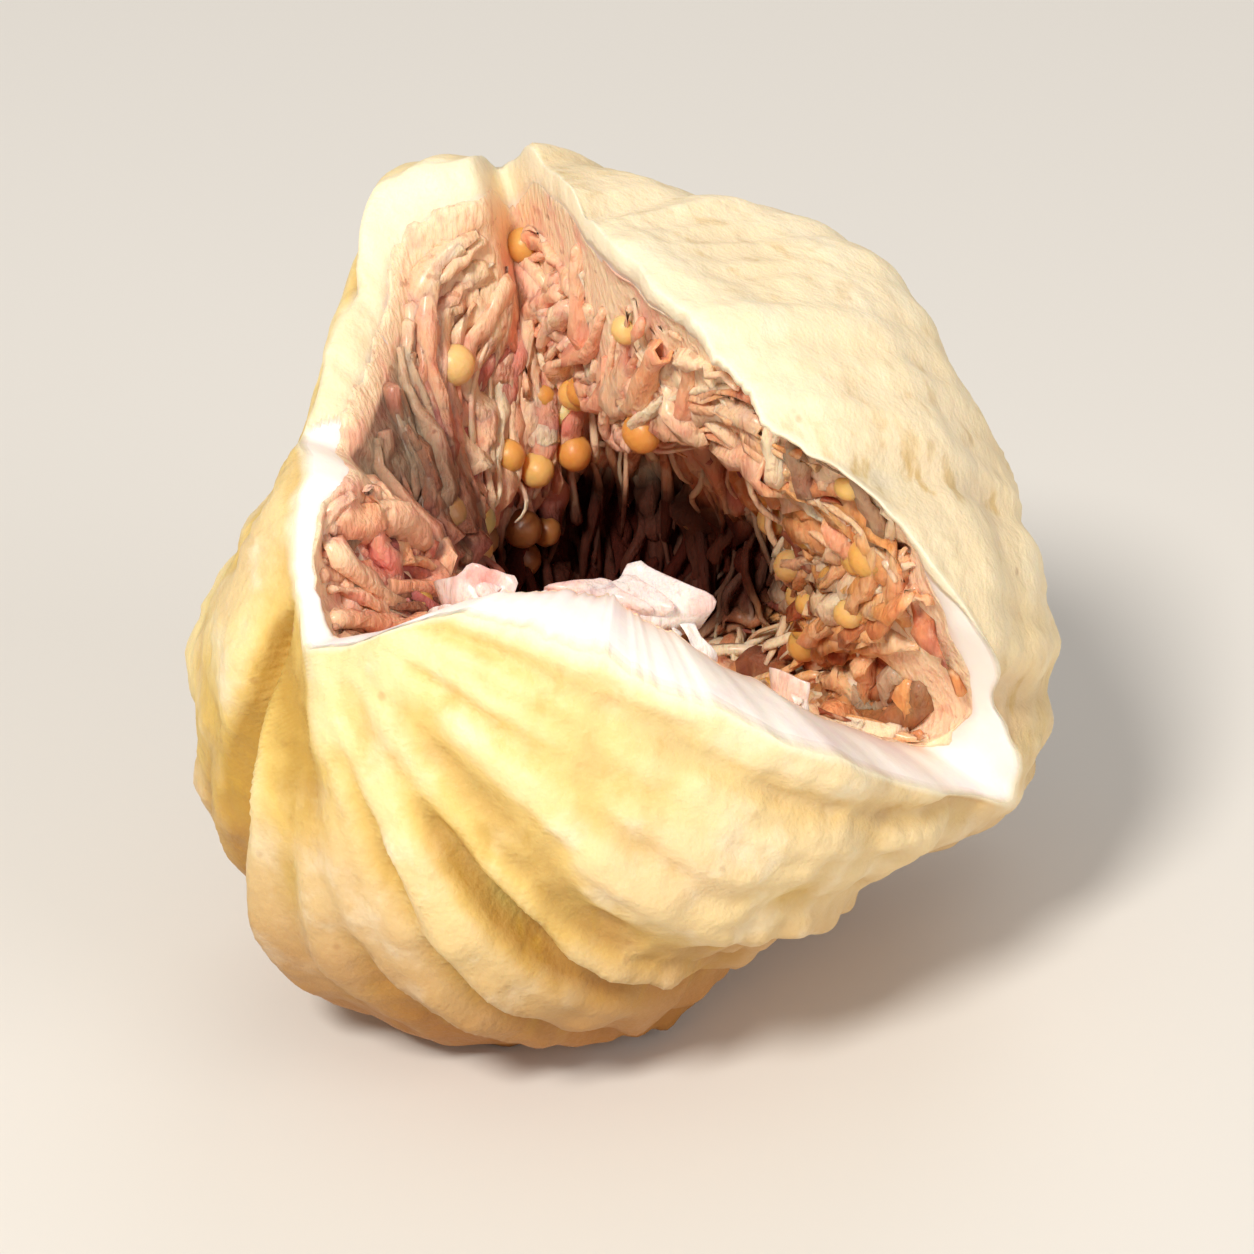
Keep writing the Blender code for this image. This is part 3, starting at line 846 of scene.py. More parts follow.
@dataclass(frozen=True)
class RindFinish:
    """Straw yellow skin, with a painted highlight on its crests, painted shade in its valleys and
    towards the bottom and the lip's lower right, and the white flesh at its cut edge.
    """

    # The crest colour is a painted highlight on the rib crests, and the valley colour is painted shade
    # in the valleys.
    lit_crest: Colour = srgb(246, 222, 160)
    slope: Colour = srgb(230, 196, 108)
    valley_shade: Colour = srgb(192, 150, 58)
    lid: Colour = srgb(252, 234, 202)
    # Painted shade: darker towards the bottom and on the lip's lower right.
    under: Colour = srgb(162, 102, 34)
    back: Colour = srgb(200, 152, 84)
    blotch: Colour = srgb(150, 96, 48)
    # A painted highlight on the crests, and also the white of the skin by the rim's cut edge.
    highlight_and_rim_white: Colour = srgb(250, 240, 214)
    olive: Colour = srgb(190, 172, 84)
    rosy: Colour = srgb(206, 158, 118)
    flesh: Colour = srgb(255, 247, 238)
    flesh_lilac: Colour = srgb(246, 222, 228)
    flesh_deep: Colour = srgb(214, 160, 120)
    stretched: Triple = (1.0, 1.0, 1.4)
    lined: Triple = (1.0, 1.0, 2.5)
    puckered: Triple = (1.0, 1.0, 1.5)
    relief_mm: float = 0.26
    under_skin: Triple = (1.0, 0.62, 0.3)

    def skin(self, graph: Graph, fine: Socket) -> Socket:
        """The skin's colour.

        Args:
            graph: The material's nodes.
            fine: The fine noise that the relief shares with it.

        Returns:
            The colour.
        """
        lit_crest, hidden, under = (graph.kept(name) for name in ("lit_crest", "hidden", "under"))
        broad = graph.noise(5.5)
        # From the ribs' height, the ramp paints a highlight on the crests and shade in the valleys.
        stops = [(0.0, self.valley_shade), (0.45, self.slope), (0.85, self.lit_crest)]
        olive = graph.noise(4.0, 4.0, graph.place(self.stretched)).step(0.5, 0.72)
        blotches = graph.noise(2.6, 5.0).step(0.56, 0.74)
        specks = 1.0 - graph.spots(1.3).step(0.05, 0.16)
        # Patches of the painted highlight on the crests.
        highlight_and_rim_white = graph.noise(1.7, 6.0).step(0.5, 0.7)
        lines = graph.noise(0.8, 5.0, graph.place(self.lined)).step(0.52, 0.7)
        layers = (
            (olive * (1.0 - lit_crest) * 0.75, self.olive),
            (graph.noise(7.0).step(0.5, 0.7) * 0.35, self.rosy),
            (graph.kept("calm") * (0.6 + 0.5 * broad), self.lid),
            # Painted shade towards the bottom and on the lip's lower right.
            (under, self.under),
            (hidden * (0.35 + 0.6 * broad), self.back),
            (blotches * (0.08 + 0.4 * hidden), self.blotch),
            (specks * broad.step(0.45, 0.62) * 0.3, self.blotch),
            # Painted highlight on the crests, kept off the painted shade below.
            (highlight_and_rim_white * lit_crest * (1.0 - under) * 0.45, self.highlight_and_rim_white),
            # Fine lines in the valleys, in the colour of the painted valley shade.
            (lines * (1.0 - lit_crest) * 0.5, self.valley_shade),
            # The white of the skin by the rim's cut edge.
            (graph.kept("by_rim") * 0.65, self.highlight_and_rim_white),
        )
        return graph.layers(graph.ramp(lit_crest + 0.45 * (fine - 0.5), stops), layers)

    def material(self) -> bpy.types.Material:
        """Builds the material."""
        graph = Graph("rind")
        fine = graph.noise(0.9, 4.0)
        cut = graph.kept("flesh")
        lilac = graph.noise(2.2, 4.0).step(0.42, 0.68)
        layers = ((lilac * 0.5, self.flesh_lilac), (graph.kept("inner") * 0.7, self.flesh_deep))
        colour = graph.mix(cut, self.skin(graph, fine), graph.layers(self.flesh, layers))
        puckers = graph.noise(1.5, 3.0, graph.place(self.puckered))
        calmed = (1.0 - 0.5 * graph.kept("calm")) * puckers
        height = (1.0 - 0.75 * cut) * (calmed + 0.35 * fine + 0.12 * graph.noise(0.16, 2.0))
        return graph.finish(
            Base_Color=colour,
            Roughness=0.42 + 0.25 * fine + 0.1 * cut,
            Normal=graph.bump(height, self.relief_mm),
            Subsurface_Weight=0.2,
            Subsurface_Radius=self.under_skin,
            Subsurface_Scale=0.9 * MM,
            Specular_IOR_Level=0.45,
        )


@dataclass(frozen=True)
class PulpFinish:
    """Dried pulp: pink and cream on the left, brown and orange on the right, with painted shade dark
    inside the hollow.
    """

    name: str = "pulp"
    pink: Colour = srgb(255, 178, 142)
    mauve: Colour = srgb(204, 114, 108)
    cream: Colour = srgb(255, 224, 188)
    orange: Colour = srgb(242, 164, 100)
    brown: Colour = srgb(160, 82, 50)
    rose: Colour = srgb(236, 138, 132)
    vein: Colour = srgb(196, 96, 78)
    # Painted shade for the hollow and the pits.
    dark: Colour = srgb(54, 13, 4)
    wetness: float = 0.5
    fibrous: Triple = (1.0, 1.0, 3.5)
    veined: Triple = (1.0, 1.0, 2.6)
    relief_mm: float = 0.17
    under_skin: Triple = (1.0, 0.38, 0.2)

    def material(self) -> bpy.types.Material:
        """Builds the material."""
        graph = Graph(self.name)
        side, deep = graph.kept("right"), graph.kept("deep")
        tint = graph.kept("tint") + 0.6 * (graph.noise(0.9, 6.0) - 0.5)
        left = graph.ramp(tint, [(0.05, self.mauve), (0.42, self.pink), (0.95, self.cream)])
        right = graph.ramp(tint, [(0.1, self.brown), (0.5, self.orange), (1.0, self.cream)])
        rose = graph.noise(1.6).step(0.48, 0.66)
        veins = graph.noise(0.28, 4.0, graph.place(self.veined)).step(0.53, 0.7)
        layers = (
            (graph.noise(0.5, 5.0).step(0.52, 0.7) * 0.35, self.cream),
            (graph.kept("pale") * 0.9, self.cream),
            (rose * (0.45 - 0.3 * side), self.rose),
            (veins * 0.28, self.vein),
            (graph.noise(0.55, 5.0).step(0.63, 0.7) * 0.4, self.brown),
            # Painted shade in the hollow and the pits.
            (deep, self.dark),
        )
        fibres = graph.noise(0.22, 4.0, graph.place(self.fibrous))
        return graph.finish(
            Base_Color=graph.layers(graph.mix(side, left, right), layers),
            Roughness=0.32 + 0.3 * fibres + 0.35 * deep,
            Normal=graph.bump(fibres, self.relief_mm),
            Subsurface_Weight=0.35,
            Subsurface_Radius=self.under_skin,
            Subsurface_Scale=0.8 * MM,
            Specular_IOR_Level=0.12,
            Coat_Weight=self.wetness * (1.0 - deep),
            Coat_Roughness=0.25,
        )


@dataclass(frozen=True)
class SeedFinish:
    """Golden seeds, glossy and a little translucent."""

    gold: Colour = srgb(240, 178, 98)
    amber: Colour = srgb(232, 156, 78)
    pale: Colour = srgb(248, 210, 146)
    # Painted shade for seeds in the hollow.
    dark: Colour = srgb(96, 40, 14)
    relief_mm: float = 0.03
    under_skin: Triple = (1.0, 0.5, 0.15)

    def material(self) -> bpy.types.Material:
        """Builds the material."""
        graph = Graph("seeds")
        tint = graph.kept("tint") + 0.3 * (graph.noise(0.7) - 0.5)
        colour = graph.ramp(tint, [(0.1, self.amber), (0.5, self.gold), (0.95, self.pale)])
        return graph.finish(
            # Painted shade in the hollow.
            Base_Color=graph.mix(graph.kept("deep"), colour, self.dark),
            Roughness=0.36 + 0.2 * graph.noise(0.4, 2.0),
            Normal=graph.bump(graph.noise(0.25), self.relief_mm),
            Subsurface_Weight=0.7,
            Subsurface_Radius=self.under_skin,
            Subsurface_Scale=0.9 * MM,
            Coat_Weight=0.15,
            Coat_Roughness=0.3,
        )


@dataclass(frozen=True)
class StemFinish:
    """A dry brown stem with painted shade in its grooves and a paler, fibrous cut."""

    foot: Colour = srgb(208, 166, 104)
    bark: Colour = srgb(168, 122, 68)
    # Painted shade in the grooves.
    groove: Colour = srgb(104, 68, 34)
    cut: Colour = srgb(214, 186, 140)
    relief_mm: float = 0.12

    def material(self) -> bpy.types.Material:
        """Builds the material."""
        graph = Graph("stem")
        fine = graph.noise(0.35, 6.0)
        up, uneven = graph.kept("up"), fine - 0.5
        layers = (
            (up + 0.5 * uneven, self.bark),
            # Painted shade in the grooves, towards the cut end.
            (0.7 * graph.kept("groove") * up + 0.3 * uneven, self.groove),
            (graph.kept("cut"), graph.mix(fine, self.cut, self.bark)),
        )
        return graph.finish(
            Base_Color=graph.layers(self.foot, layers),
            Roughness=0.7 + 0.2 * fine,
            Normal=graph.bump(fine, self.relief_mm),
        )


@dataclass(frozen=True)
class FloorFinish:
    """A plain pale floor."""

    colour: Colour = srgb(226, 223, 219)

    def material(self) -> bpy.types.Material:
        """Builds the material."""
        return Graph("floor").finish(Base_Color=self.colour, Roughness=0.75)


def flat_values(rows: Sequence[Array]) -> Array:
    """Values of rows of points in one line, with the two poles after them."""
    line = np.concatenate(rows)
    return np.concatenate([line.ravel(), [line[0].mean(), line[-1].mean()]])


@dataclass
class Rind:
    """Skin, the flesh at its cut edge and the inside of its wall, in one closed sheet."""

    form: FigForm
    columns: int = 400
    outside_rows: int = 176
    rim_rows: int = 18
    inside_rows: int = 22
    striae: tuple = ((7.0, 0.34 * MM), (16.0, 0.17 * MM), (34.0, 0.06 * MM))
    striae_length: float = 2.2
    lumps: tuple = ((6.5, 0.30 * MM), (13.0, 0.17 * MM))
    lump_way: Triple = (0.45, -0.85, 0.25)
    lump_deg: float = 42.0
    lump_share: Span = (0.5, 1.5)
    lump_calm: float = 0.6
    net_depth: float = 0.20 * MM
    net_scale: float = 4.6
    net_bend: float = 0.05
    net_share: Span = (0.12, 0.88)
    grain: float = 0.035 * MM
    grain_waves: float = 24.0
    flesh_bumps: float = 0.10 * MM
    flesh_waves: Span = (11.0, 30.0)
    rim_relief: float = 0.3
    rim_ease_deg: float = 3.0
    white_deg: float = 2.2
    crest_height: float = 0.8 * MM
    crest_middle: float = 0.62
    front_way: Triple = (-0.1, 0.1, 1.0)
    front_deg: Span = (82.0, 50.0)
    by_stem_deg: float = 30.0
    lid_turns: Span = (-14.0, 156.0)
    lid_ease_deg: float = 8.0
    flesh_start: Span = (0.09, 0.72)
    pale_way: Span = (88.0, 22.0)
    pale_deg: float = 34.0
    pale_share: float = 0.6
    # Painted shade on the lip's lower right, where less light falls.
    lower_right_shade_way: Span = (-46.0, 34.0)
    lower_right_shade_deg: float = 26.0
    lower_right_shade_share: float = 0.27
    # Height below which the skin gets painted shade, darker towards the bottom.
    under_shade_height: float = 13.0 * MM

    def relief(self, ways: Array) -> Array:
        """Fine relief that the solids leave out: striae along the ribs, and a net behind."""
        form = self.form
        turn = form.stem_turn(ways)
        away = np.radians(angle_deg(ways, form.stem[2]))
        height = self.grain * noise_at(ways, self.grain_waves, 1.0)
        for number, (waves, tall) in enumerate(self.striae):
            where = disc_points(turn, waves)
            where[..., 2] = self.striae_length * away
            height += tall * np.sin(away) * noise_at(where, 1.0, 2.0 + number)
        least, more = self.lump_share
        share = least + more * bell(ways, self.lump_way, self.lump_deg)
        share = share * (1.0 - self.lump_calm * form.calm(ways))
        for number, (waves, tall) in enumerate(self.lumps):
            height += tall * share * noise_at(ways, waves, 40.0 + number)
        bent = np.stack([noise_at(ways, 5.0, seed) for seed in (5.0, 6.0, 7.0)], axis=-1)
        net = creases_at(ways * (1.0, 1.0, 0.8) + self.net_bend * bent, self.net_scale, 4.0)
        everywhere, behind = self.net_share
        return height - self.net_depth * net * (everywhere + behind * self.hidden(ways))

    def hidden(self, ways: Array) -> Array:
        """0 where the photograph shows the skin, 1 on the back and by the stem."""
        start, over = self.front_deg
        behind = smooth_step((angle_deg(ways, np.array(self.front_way)) - start) / over)
        return np.maximum(behind, bell(ways, self.form.stem_way, self.by_stem_deg))

    def build(self) -> bpy.types.Object:
        """Builds and dresses the rind."""
        form = self.form
        turns = form.rim_turns(self.columns)
        rim, lean, wall = form.rim_values(turns)

        turn, polar = form.grid(turns, rim, form.shares(self.outside_rows))
        ways = form.mouth_ways(turn, polar)[::-1]
        past = (polar - rim)[::-1]
        ease = smooth_step(past / self.rim_ease_deg)
        relief = self.relief(ways)
        skin = form.outside(ways) + relief * (self.rim_relief + (1.0 - self.rim_relief) * ease)
        rows = [ways * skin[..., None]]

        share = np.linspace(0.0, 1.0, self.rim_rows + 1)[:, None]
        edge, radius = form.band(turns, np.broadcast_to(share, (len(share), self.columns)))
        coarse, fine = self.flesh_waves
        bumps = noise_at(edge, coarse, 9.0) + 0.6 * noise_at(edge, fine, 10.0)
        radius = radius + self.relief(form.mouth_ways(turns, rim)) * self.rim_relief * (1.0 - share)
        radius = radius + self.flesh_bumps * bumps * np.sin(math.pi * share)
        rows.append(edge * radius[..., None])

        turn, polar = form.grid(turns, rim + lean, form.shares(self.inside_rows))
        inside = form.mouth_ways(turn, polar)
        rows.append(inside * form.wall(inside, wall, polar - (rim + lean))[..., None])

        far = -form.mouth[2]
        poles = np.stack([far * form.outside(far), far * (form.body(far) - form.wall_inside)])
        points = form.place(np.concatenate([np.concatenate(rows).reshape(-1, 3), poles]))
        shape = Shape()
        shape.add(
            points,
            ball_faces(sum(len(row) for row in rows), self.columns),
            **self._skin_values(ways, skin, relief, past, len(share)),
            **self._flesh_values(turns, share, np.zeros_like(past)),
        )
        return shape.dressed("rind_skin", RindFinish().material(), "rind")

    def _skin_values(
        self, ways: Array, skin: Array, relief: Array, past: Array, rim_count: int
    ) -> dict[str, Array]:
        """Numbers on the skin that carry on over the rim as they are at its edge.

        Args:
            ways: The ways of the skin's points.
            skin: Their radii.
            relief: Their fine relief.
            past: How many degrees past the rim they are.
            rim_count: How many rows of points the rim has.

        Returns:
            The numbers, by name.
        """
        form = self.form
        height = form.stand(ways * skin[..., None])[..., 2]
        pale = self.pale_share * bell(ways, form.face_way(*self.pale_way), self.pale_deg)
        # Painted shade on the lip's lower right.
        lower_right_shade = self.lower_right_shade_share * bell(ways, form.face_way(*self.lower_right_shade_way), self.lower_right_shade_deg)
        values = {
            # Rib height, which the finish turns into a painted highlight on the crests and painted
            # shade in the valleys.
            "lit_crest": self.crest_middle + (form.ribs(ways) + relief) / self.crest_height,
            "calm": np.clip(form.calm(ways) + pale, 0.0, 1.0),
            "hidden": self.hidden(ways),
            # Painted shade: darker towards the bottom and on the lip's lower right.
            "under": np.maximum(1.0 - smooth_step(height / self.under_shade_height), lower_right_shade),
            "by_rim": 1.0 - smooth_step(past / self.white_deg),
        }
        over = rim_count + self.inside_rows
        return {
            name: flat_values([value, np.repeat(value[-1:], over, axis=0)])
            for name, value in values.items()
        }

    def _flesh_values(self, turns: Array, share: Array, skin: Array) -> dict[str, Array]:
        """Numbers that are 0 on the skin and 1 on the flesh.

        Args:
            turns: The columns' turns round the mouth.
            share: How far across the rim each of its rows is.
            skin: The skin's zeros.

        Returns:
            The numbers, by name.
        """
        full = np.ones((1, self.columns))
        inside = np.ones((self.inside_rows, 1)) * full
        start, end = self.lid_turns
        ease = self.lid_ease_deg
        lid = smooth_step((turns - start) / ease) * smooth_step((end - turns) / ease)[None]
        least, more = self.flesh_start
        begin = least + more * lid
        flesh = smooth_step((share - 0.5 * lid) / (begin - 0.5 * lid)) * full
        inner = 0.5 * smooth_step((share - 0.6) / 0.4) * full
        return {
            "flesh": flat_values([skin, flesh, inside]),
            "inner": flat_values([skin, inner, inside]),
        }


@dataclass(frozen=True)
class PulpTint:
    """How the pulp's colour changes over the fig, with the painted shade of its hollow."""

    form: FigForm
    # Where the hollow's painted shade lies.
    dark_at: Span = (0.05, 0.23)
    dark_half: Span = (0.99, 0.43)
    dark_from: float = 0.7
    dark_over: float = 0.42
    behind: Span = (0.60, 0.34)
    # A nook on the upper left that gets painted shade too.
    nook_way: Triple = (-0.80, 0.50, 0.14)
    nook_deg: float = 20.0
    nook_share: float = 0.85
    right_from: float = 0.3 * MM
    right_over: float = 5.5 * MM
    mauve_way: Triple = (-0.86, 0.06, 0.5)
    mauve_deg: float = 24.0
    mauve_share: float = 0.35

    def deep(self, points: Array) -> Array:
        """Painted shade: 0 in the light and 1 in the dark of the hollow."""
        ways = self.form.face_ways(points)
        across = (ways[..., 0] - self.dark_at[0]) / self.dark_half[0]
        up = (ways[..., 1] - self.dark_at[1]) / self.dark_half[1]
        away = np.hypot(across, up)
        start, over = self.behind
        back = smooth_step((start - ways[..., 2]) / over)
        hollow = back * (1.0 - smooth_step((away - self.dark_from) / self.dark_over))
        return np.maximum(hollow, self.nook_share * bell(ways, self.nook_way, self.nook_deg, 4))

    def right(self, points: Array) -> Array:
        """0 where the pulp is pink and 1 where it is brown and orange."""
        return smooth_step((points[..., 0] - self.right_from) / self.right_over)

    def mauve(self, points: Array) -> Array:
        """How much deeper the pink is, most by the mouth's left end."""
        ways = self.form.face_ways(points)
        return self.mauve_share * bell(ways, self.mauve_way, self.mauve_deg)


@dataclass
class Lining:
    """The pulp's own body, combed into fibres, with a ragged edge that runs onto the rim."""

    form: FigForm
    tint: PulpTint
    columns: int = 380
    back_rows: int = 8
    edge_rows: int = 7
    face_rows: int = 100
    overlap: float = 0.15 * MM
    start_deg: float = 0.3
    edge_reach: tuple = (
        (-180.0, 0.55), (-150.0, 0.95), (-28.0, 0.95), (-12.0, 0.8),
        (96.0, 0.75), (104.0, 0.55), (150.0, 0.5), (156.0, 0.6),
    )
    edge_limits: Span = (0.25, 0.97)
    edge_shake: float = 0.16
    edge_waves: Span = (14.0, 34.0)
    edge_proud_deg: float = 0.9
    edge_proud_waves: float = 17.0
    edge_dip_deg: float = 0.35
    combs: tuple = ((8.0, 0.55 * MM), (20.0, 0.32 * MM), (46.0, 0.12 * MM))
    comb_step_deg: float = 16.0
    comb_bend: float = 0.12
    comb_bend_waves: float = 5.0
    drape: Span = (1.1, 2.4)
    grain: float = 0.16 * MM
    grain_waves: float = 26.0
    pit_depth: float = 0.6 * MM
    pit_waves: float = 13.0
    pit_from: Span = (0.3, 0.2)
    # How much painted shade the pits get.
    pit_shade: float = 0.75
    pale_waves: float = 9.0
    pale_deg: Triple = (3.0, 6.0, 12.0)
    wetness: float = 0.15

    def build(self) -> bpy.types.Object:
        """Builds and dresses the lining."""
        form = self.form
        turns = form.rim_turns(self.columns)
        rim, lean, wall = form.rim_values(turns)
        start = rim + lean + self.start_deg
        turn, polar = form.grid(turns, start, form.shares(self.back_rows))
        ways = form.mouth_ways(turn, polar)
        back = form.wall(ways, wall, polar - (rim + lean)) + self.overlap
        edge = self._edge(turns)

        turn, polar = form.grid(turns, start, np.concatenate([[0.0], form.shares(self.face_rows)]))
        face_ways = form.mouth_ways(turn, polar)
        past = polar - (rim + lean)
        pits, relief = self._relief(face_ways, turn, polar)
        fade = smooth_step((past + 2.0) / 7.0) * smooth_step((180.0 - polar) / 12.0)
        face = face_ways * (form.lining(face_ways, wall, past) - relief * fade)[..., None]
        rows = [(ways * back[..., None])[::-1], edge, face]

        far = -form.mouth[2]
        bottom = form.lining(far, np.array(form.wall_inside), np.array(180.0))
        poles = np.stack([far * (form.body(far) - form.wall_inside + self.overlap), far * bottom])
        points = form.place(np.concatenate([np.concatenate(rows).reshape(-1, 3), poles]))

        placed = form.place(face)
        begin, shake, over = self.pale_deg
        uneven = past - begin + shake * noise_at(face_ways, self.pale_waves, 20.0)
        # Painted shade in the pits.
        dark = self.pit_shade * pits * smooth_step((past - 2.0) / 8.0)
        # The tint rises with the relief's height, so the folds get cream as a painted highlight and the
        # dips get mauve as painted shade. The mauve bell deepens the pink by the mouth's left end.
        tint = 0.45 + 0.5 * relief / self.combs[0][1] - self.tint.mauve(placed)
        edge_size = self.edge_rows * self.columns
        shape = Shape()
        shape.add(
            points,
            ball_faces(sum(len(row) for row in rows), self.columns),
            tint=self._line(tint, edge_size, 0.6),
            # Painted shade of the hollow and the pits.
            deep=self._line(np.maximum(self.tint.deep(placed), dark), edge_size, 0.0),
            pale=self._line(1.0 - smooth_step(uneven / over), edge_size, 0.9),
            right=self.tint.right(points),
        )
        finish = PulpFinish("pulp_lining", wetness=self.wetness)
        return shape.dressed("pulp_lining", finish.material(), "pulp")

    def _edge(self, turns: Array) -> Array:
        """The points of the ragged edge, in rows from its tip inwards."""
        form = self.form
        round_rim = disc_points(np.radians(turns))
        places, reaches = np.array(self.edge_reach).T
        coarse, fine = self.edge_waves
        shake = noise_at(round_rim, coarse, 7.0) + 0.7 * noise_at(round_rim, fine, 8.0)
        reach = np.interp(turns, places, reaches, period=360.0) + self.edge_shake * shake
        reach = np.clip(reach, *self.edge_limits)
        along = np.linspace(0.0, 1.0, self.edge_rows)[:, None]
        edge, radius = form.band(turns, reach + (1.0 - reach) * along * 0.97)
        uneven = 0.5 + 0.8 * noise_at(edge, self.edge_proud_waves, 9.5)
        proud = self.edge_proud_deg * uneven * smooth_step(along / 0.3)
        dip = self.edge_dip_deg * (1.0 - smooth_step(along / 0.2))
        edge = unit(edge + np.radians(proud - dip)[..., None] * form.mouth[2])
        return edge * radius[..., None]

    def _relief(self, ways: Array, turn: Array, polar: Array) -> tuple[Array, Array]:
        """The face's pits and its relief.

        Args:
            ways: The ways of its points.
            turn: Their turns round the mouth.
            polar: Their angles from the mouth's axis.

        Returns:
            The pits from 0 to 1, and the height of the relief with the pits in it.
        """
        relief = self.grain * noise_at(ways, self.grain_waves, 11.0)
        bend = self.comb_bend * noise_at(ways, self.comb_bend_waves, 18.0)
        low, ease = self.form.hang_from
        hang = smooth_step((ways[..., 1] - low) / ease)
        across, along = self.drape
        for number, (waves, tall) in enumerate(self.combs):
            where = disc_points(np.radians(turn) + bend, waves)
            where[..., 2] = polar / self.comb_step_deg
            draped = ways * (across * waves, along, along) + bend[..., None] * waves
            folds = hang * noise_at(draped, 1.0, 32.0 + number)
            relief = relief + tall * (folds + (1.0 - hang) * noise_at(where, 1.0, 12.0 + number))
        start, over = self.pit_from
        pits = smooth_step((noise_at(ways, self.pit_waves, 19.0) - start) / over)
        return pits, relief - self.pit_depth * pits

    def _line(self, face: Array, edge_size: int, edge_value: float) -> Array:
        """The face's values, with one value for the edge and 0 for the back and its pole."""
        back = np.zeros(self.back_rows * self.columns)
        before = np.concatenate([back, np.full(edge_size, edge_value)])
        return np.concatenate([before, face.ravel(), [0.0, face[-1].mean()]])


@dataclass(frozen=True)
class FloretKind:
    """How florets of one kind grow, each value from its least to its most."""

    length_deg: Span
    width: Span
    flatness: Span
    lift: Span
    curl: Span
    slant_deg: float
    tone: Span


class Kind(Enum):
    """Where florets grow: on the upper wall, by the mouth's left end or on the right."""

    DRAPED = FloretKind(
        (18.0, 48.0), (0.45 * MM, 1.5 * MM), (0.3, 0.65), (0.0 * MM, 0.9 * MM),
        (0.02 * MM, 0.2 * MM), 6.0, (0.58, 0.18),
    )
    CURLED = FloretKind(
        (10.0, 26.0), (0.9 * MM, 1.9 * MM), (0.3, 0.6), (0.1 * MM, 1.3 * MM),
        (0.15 * MM, 0.45 * MM), 14.0, (0.54, 0.26),
    )
    TANGLED = FloretKind(
        (12.0, 30.0), (0.7 * MM, 2.0 * MM), (0.35, 0.7), (0.0 * MM, 1.0 * MM),
        (0.05 * MM, 0.3 * MM), 14.0, (0.54, 0.26),
    )


@dataclass(frozen=True)
class Taper:
    """How a floret's width grows from a share of it and is lost again on the way to its tip."""

    least: float
    gained: float
    grows: Span
    lost: float
    shrinks: Span

    def widths(self, t: Array) -> Array:
        """The share of the full width at each point along."""
        (first, grown), (start, over) = self.grows, self.shrinks
        rise = self.least + self.gained * smooth_step((t - first) / grown)
        return rise * (1.0 - self.lost * smooth_step((t - start) / over))


class Tip(Enum):
    """What a floret ends in."""

    SEED = Taper(0.6, 0.4, (0.0, 0.5), 0.3, (0.6, 0.4))
    CUP = Taper(0.5, 0.7, (0.0, 1.0), 0.0, (0.0, 1.0))
    POINT = Taper(0.65, 0.35, (0.0, 0.4), 0.8, (0.4, 0.6))
    PETAL = Taper(0.35, 0.65, (0.3, 0.5), 0.4, (0.8, 0.2))


@dataclass
class SeedPlace:
    """Where a seed sits."""

    centre: Array
    along: Array
    radius: float
    # The hollow's painted shade there.
    deep: float


@dataclass(frozen=True)
class Rooted:
    """A floret's root, or its end where that is chosen by its seed or its petal's width."""

    turn: float
    past: float
    seed_radius: float = 0.0
    petal: float = 0.0

    @property
    def chosen(self) -> bool:
        """Whether the place is the floret's end."""
        return self.seed_radius + self.petal > 0.0


def scattered(
    form: FigForm, random: np.random.Generator, least_past: float, most_polar: float
) -> Iterator[tuple[float, float]]:
    """Random places on the pulp's face, each drawn when it is asked for.

    Args:
        form: The fig's shape.
        random: Where the random numbers come from.
        least_past: How many degrees past the rim a place has to be.
        most_polar: How far from the mouth's axis it may be.

    Yields:
        Its turn round the mouth and its degrees past the rim.
    """
    while True:
        turn, polar, past = form.past_rim(unit(random.normal(size=3)))
        if past >= least_past and polar <= most_polar:
            yield float(turn), float(past)


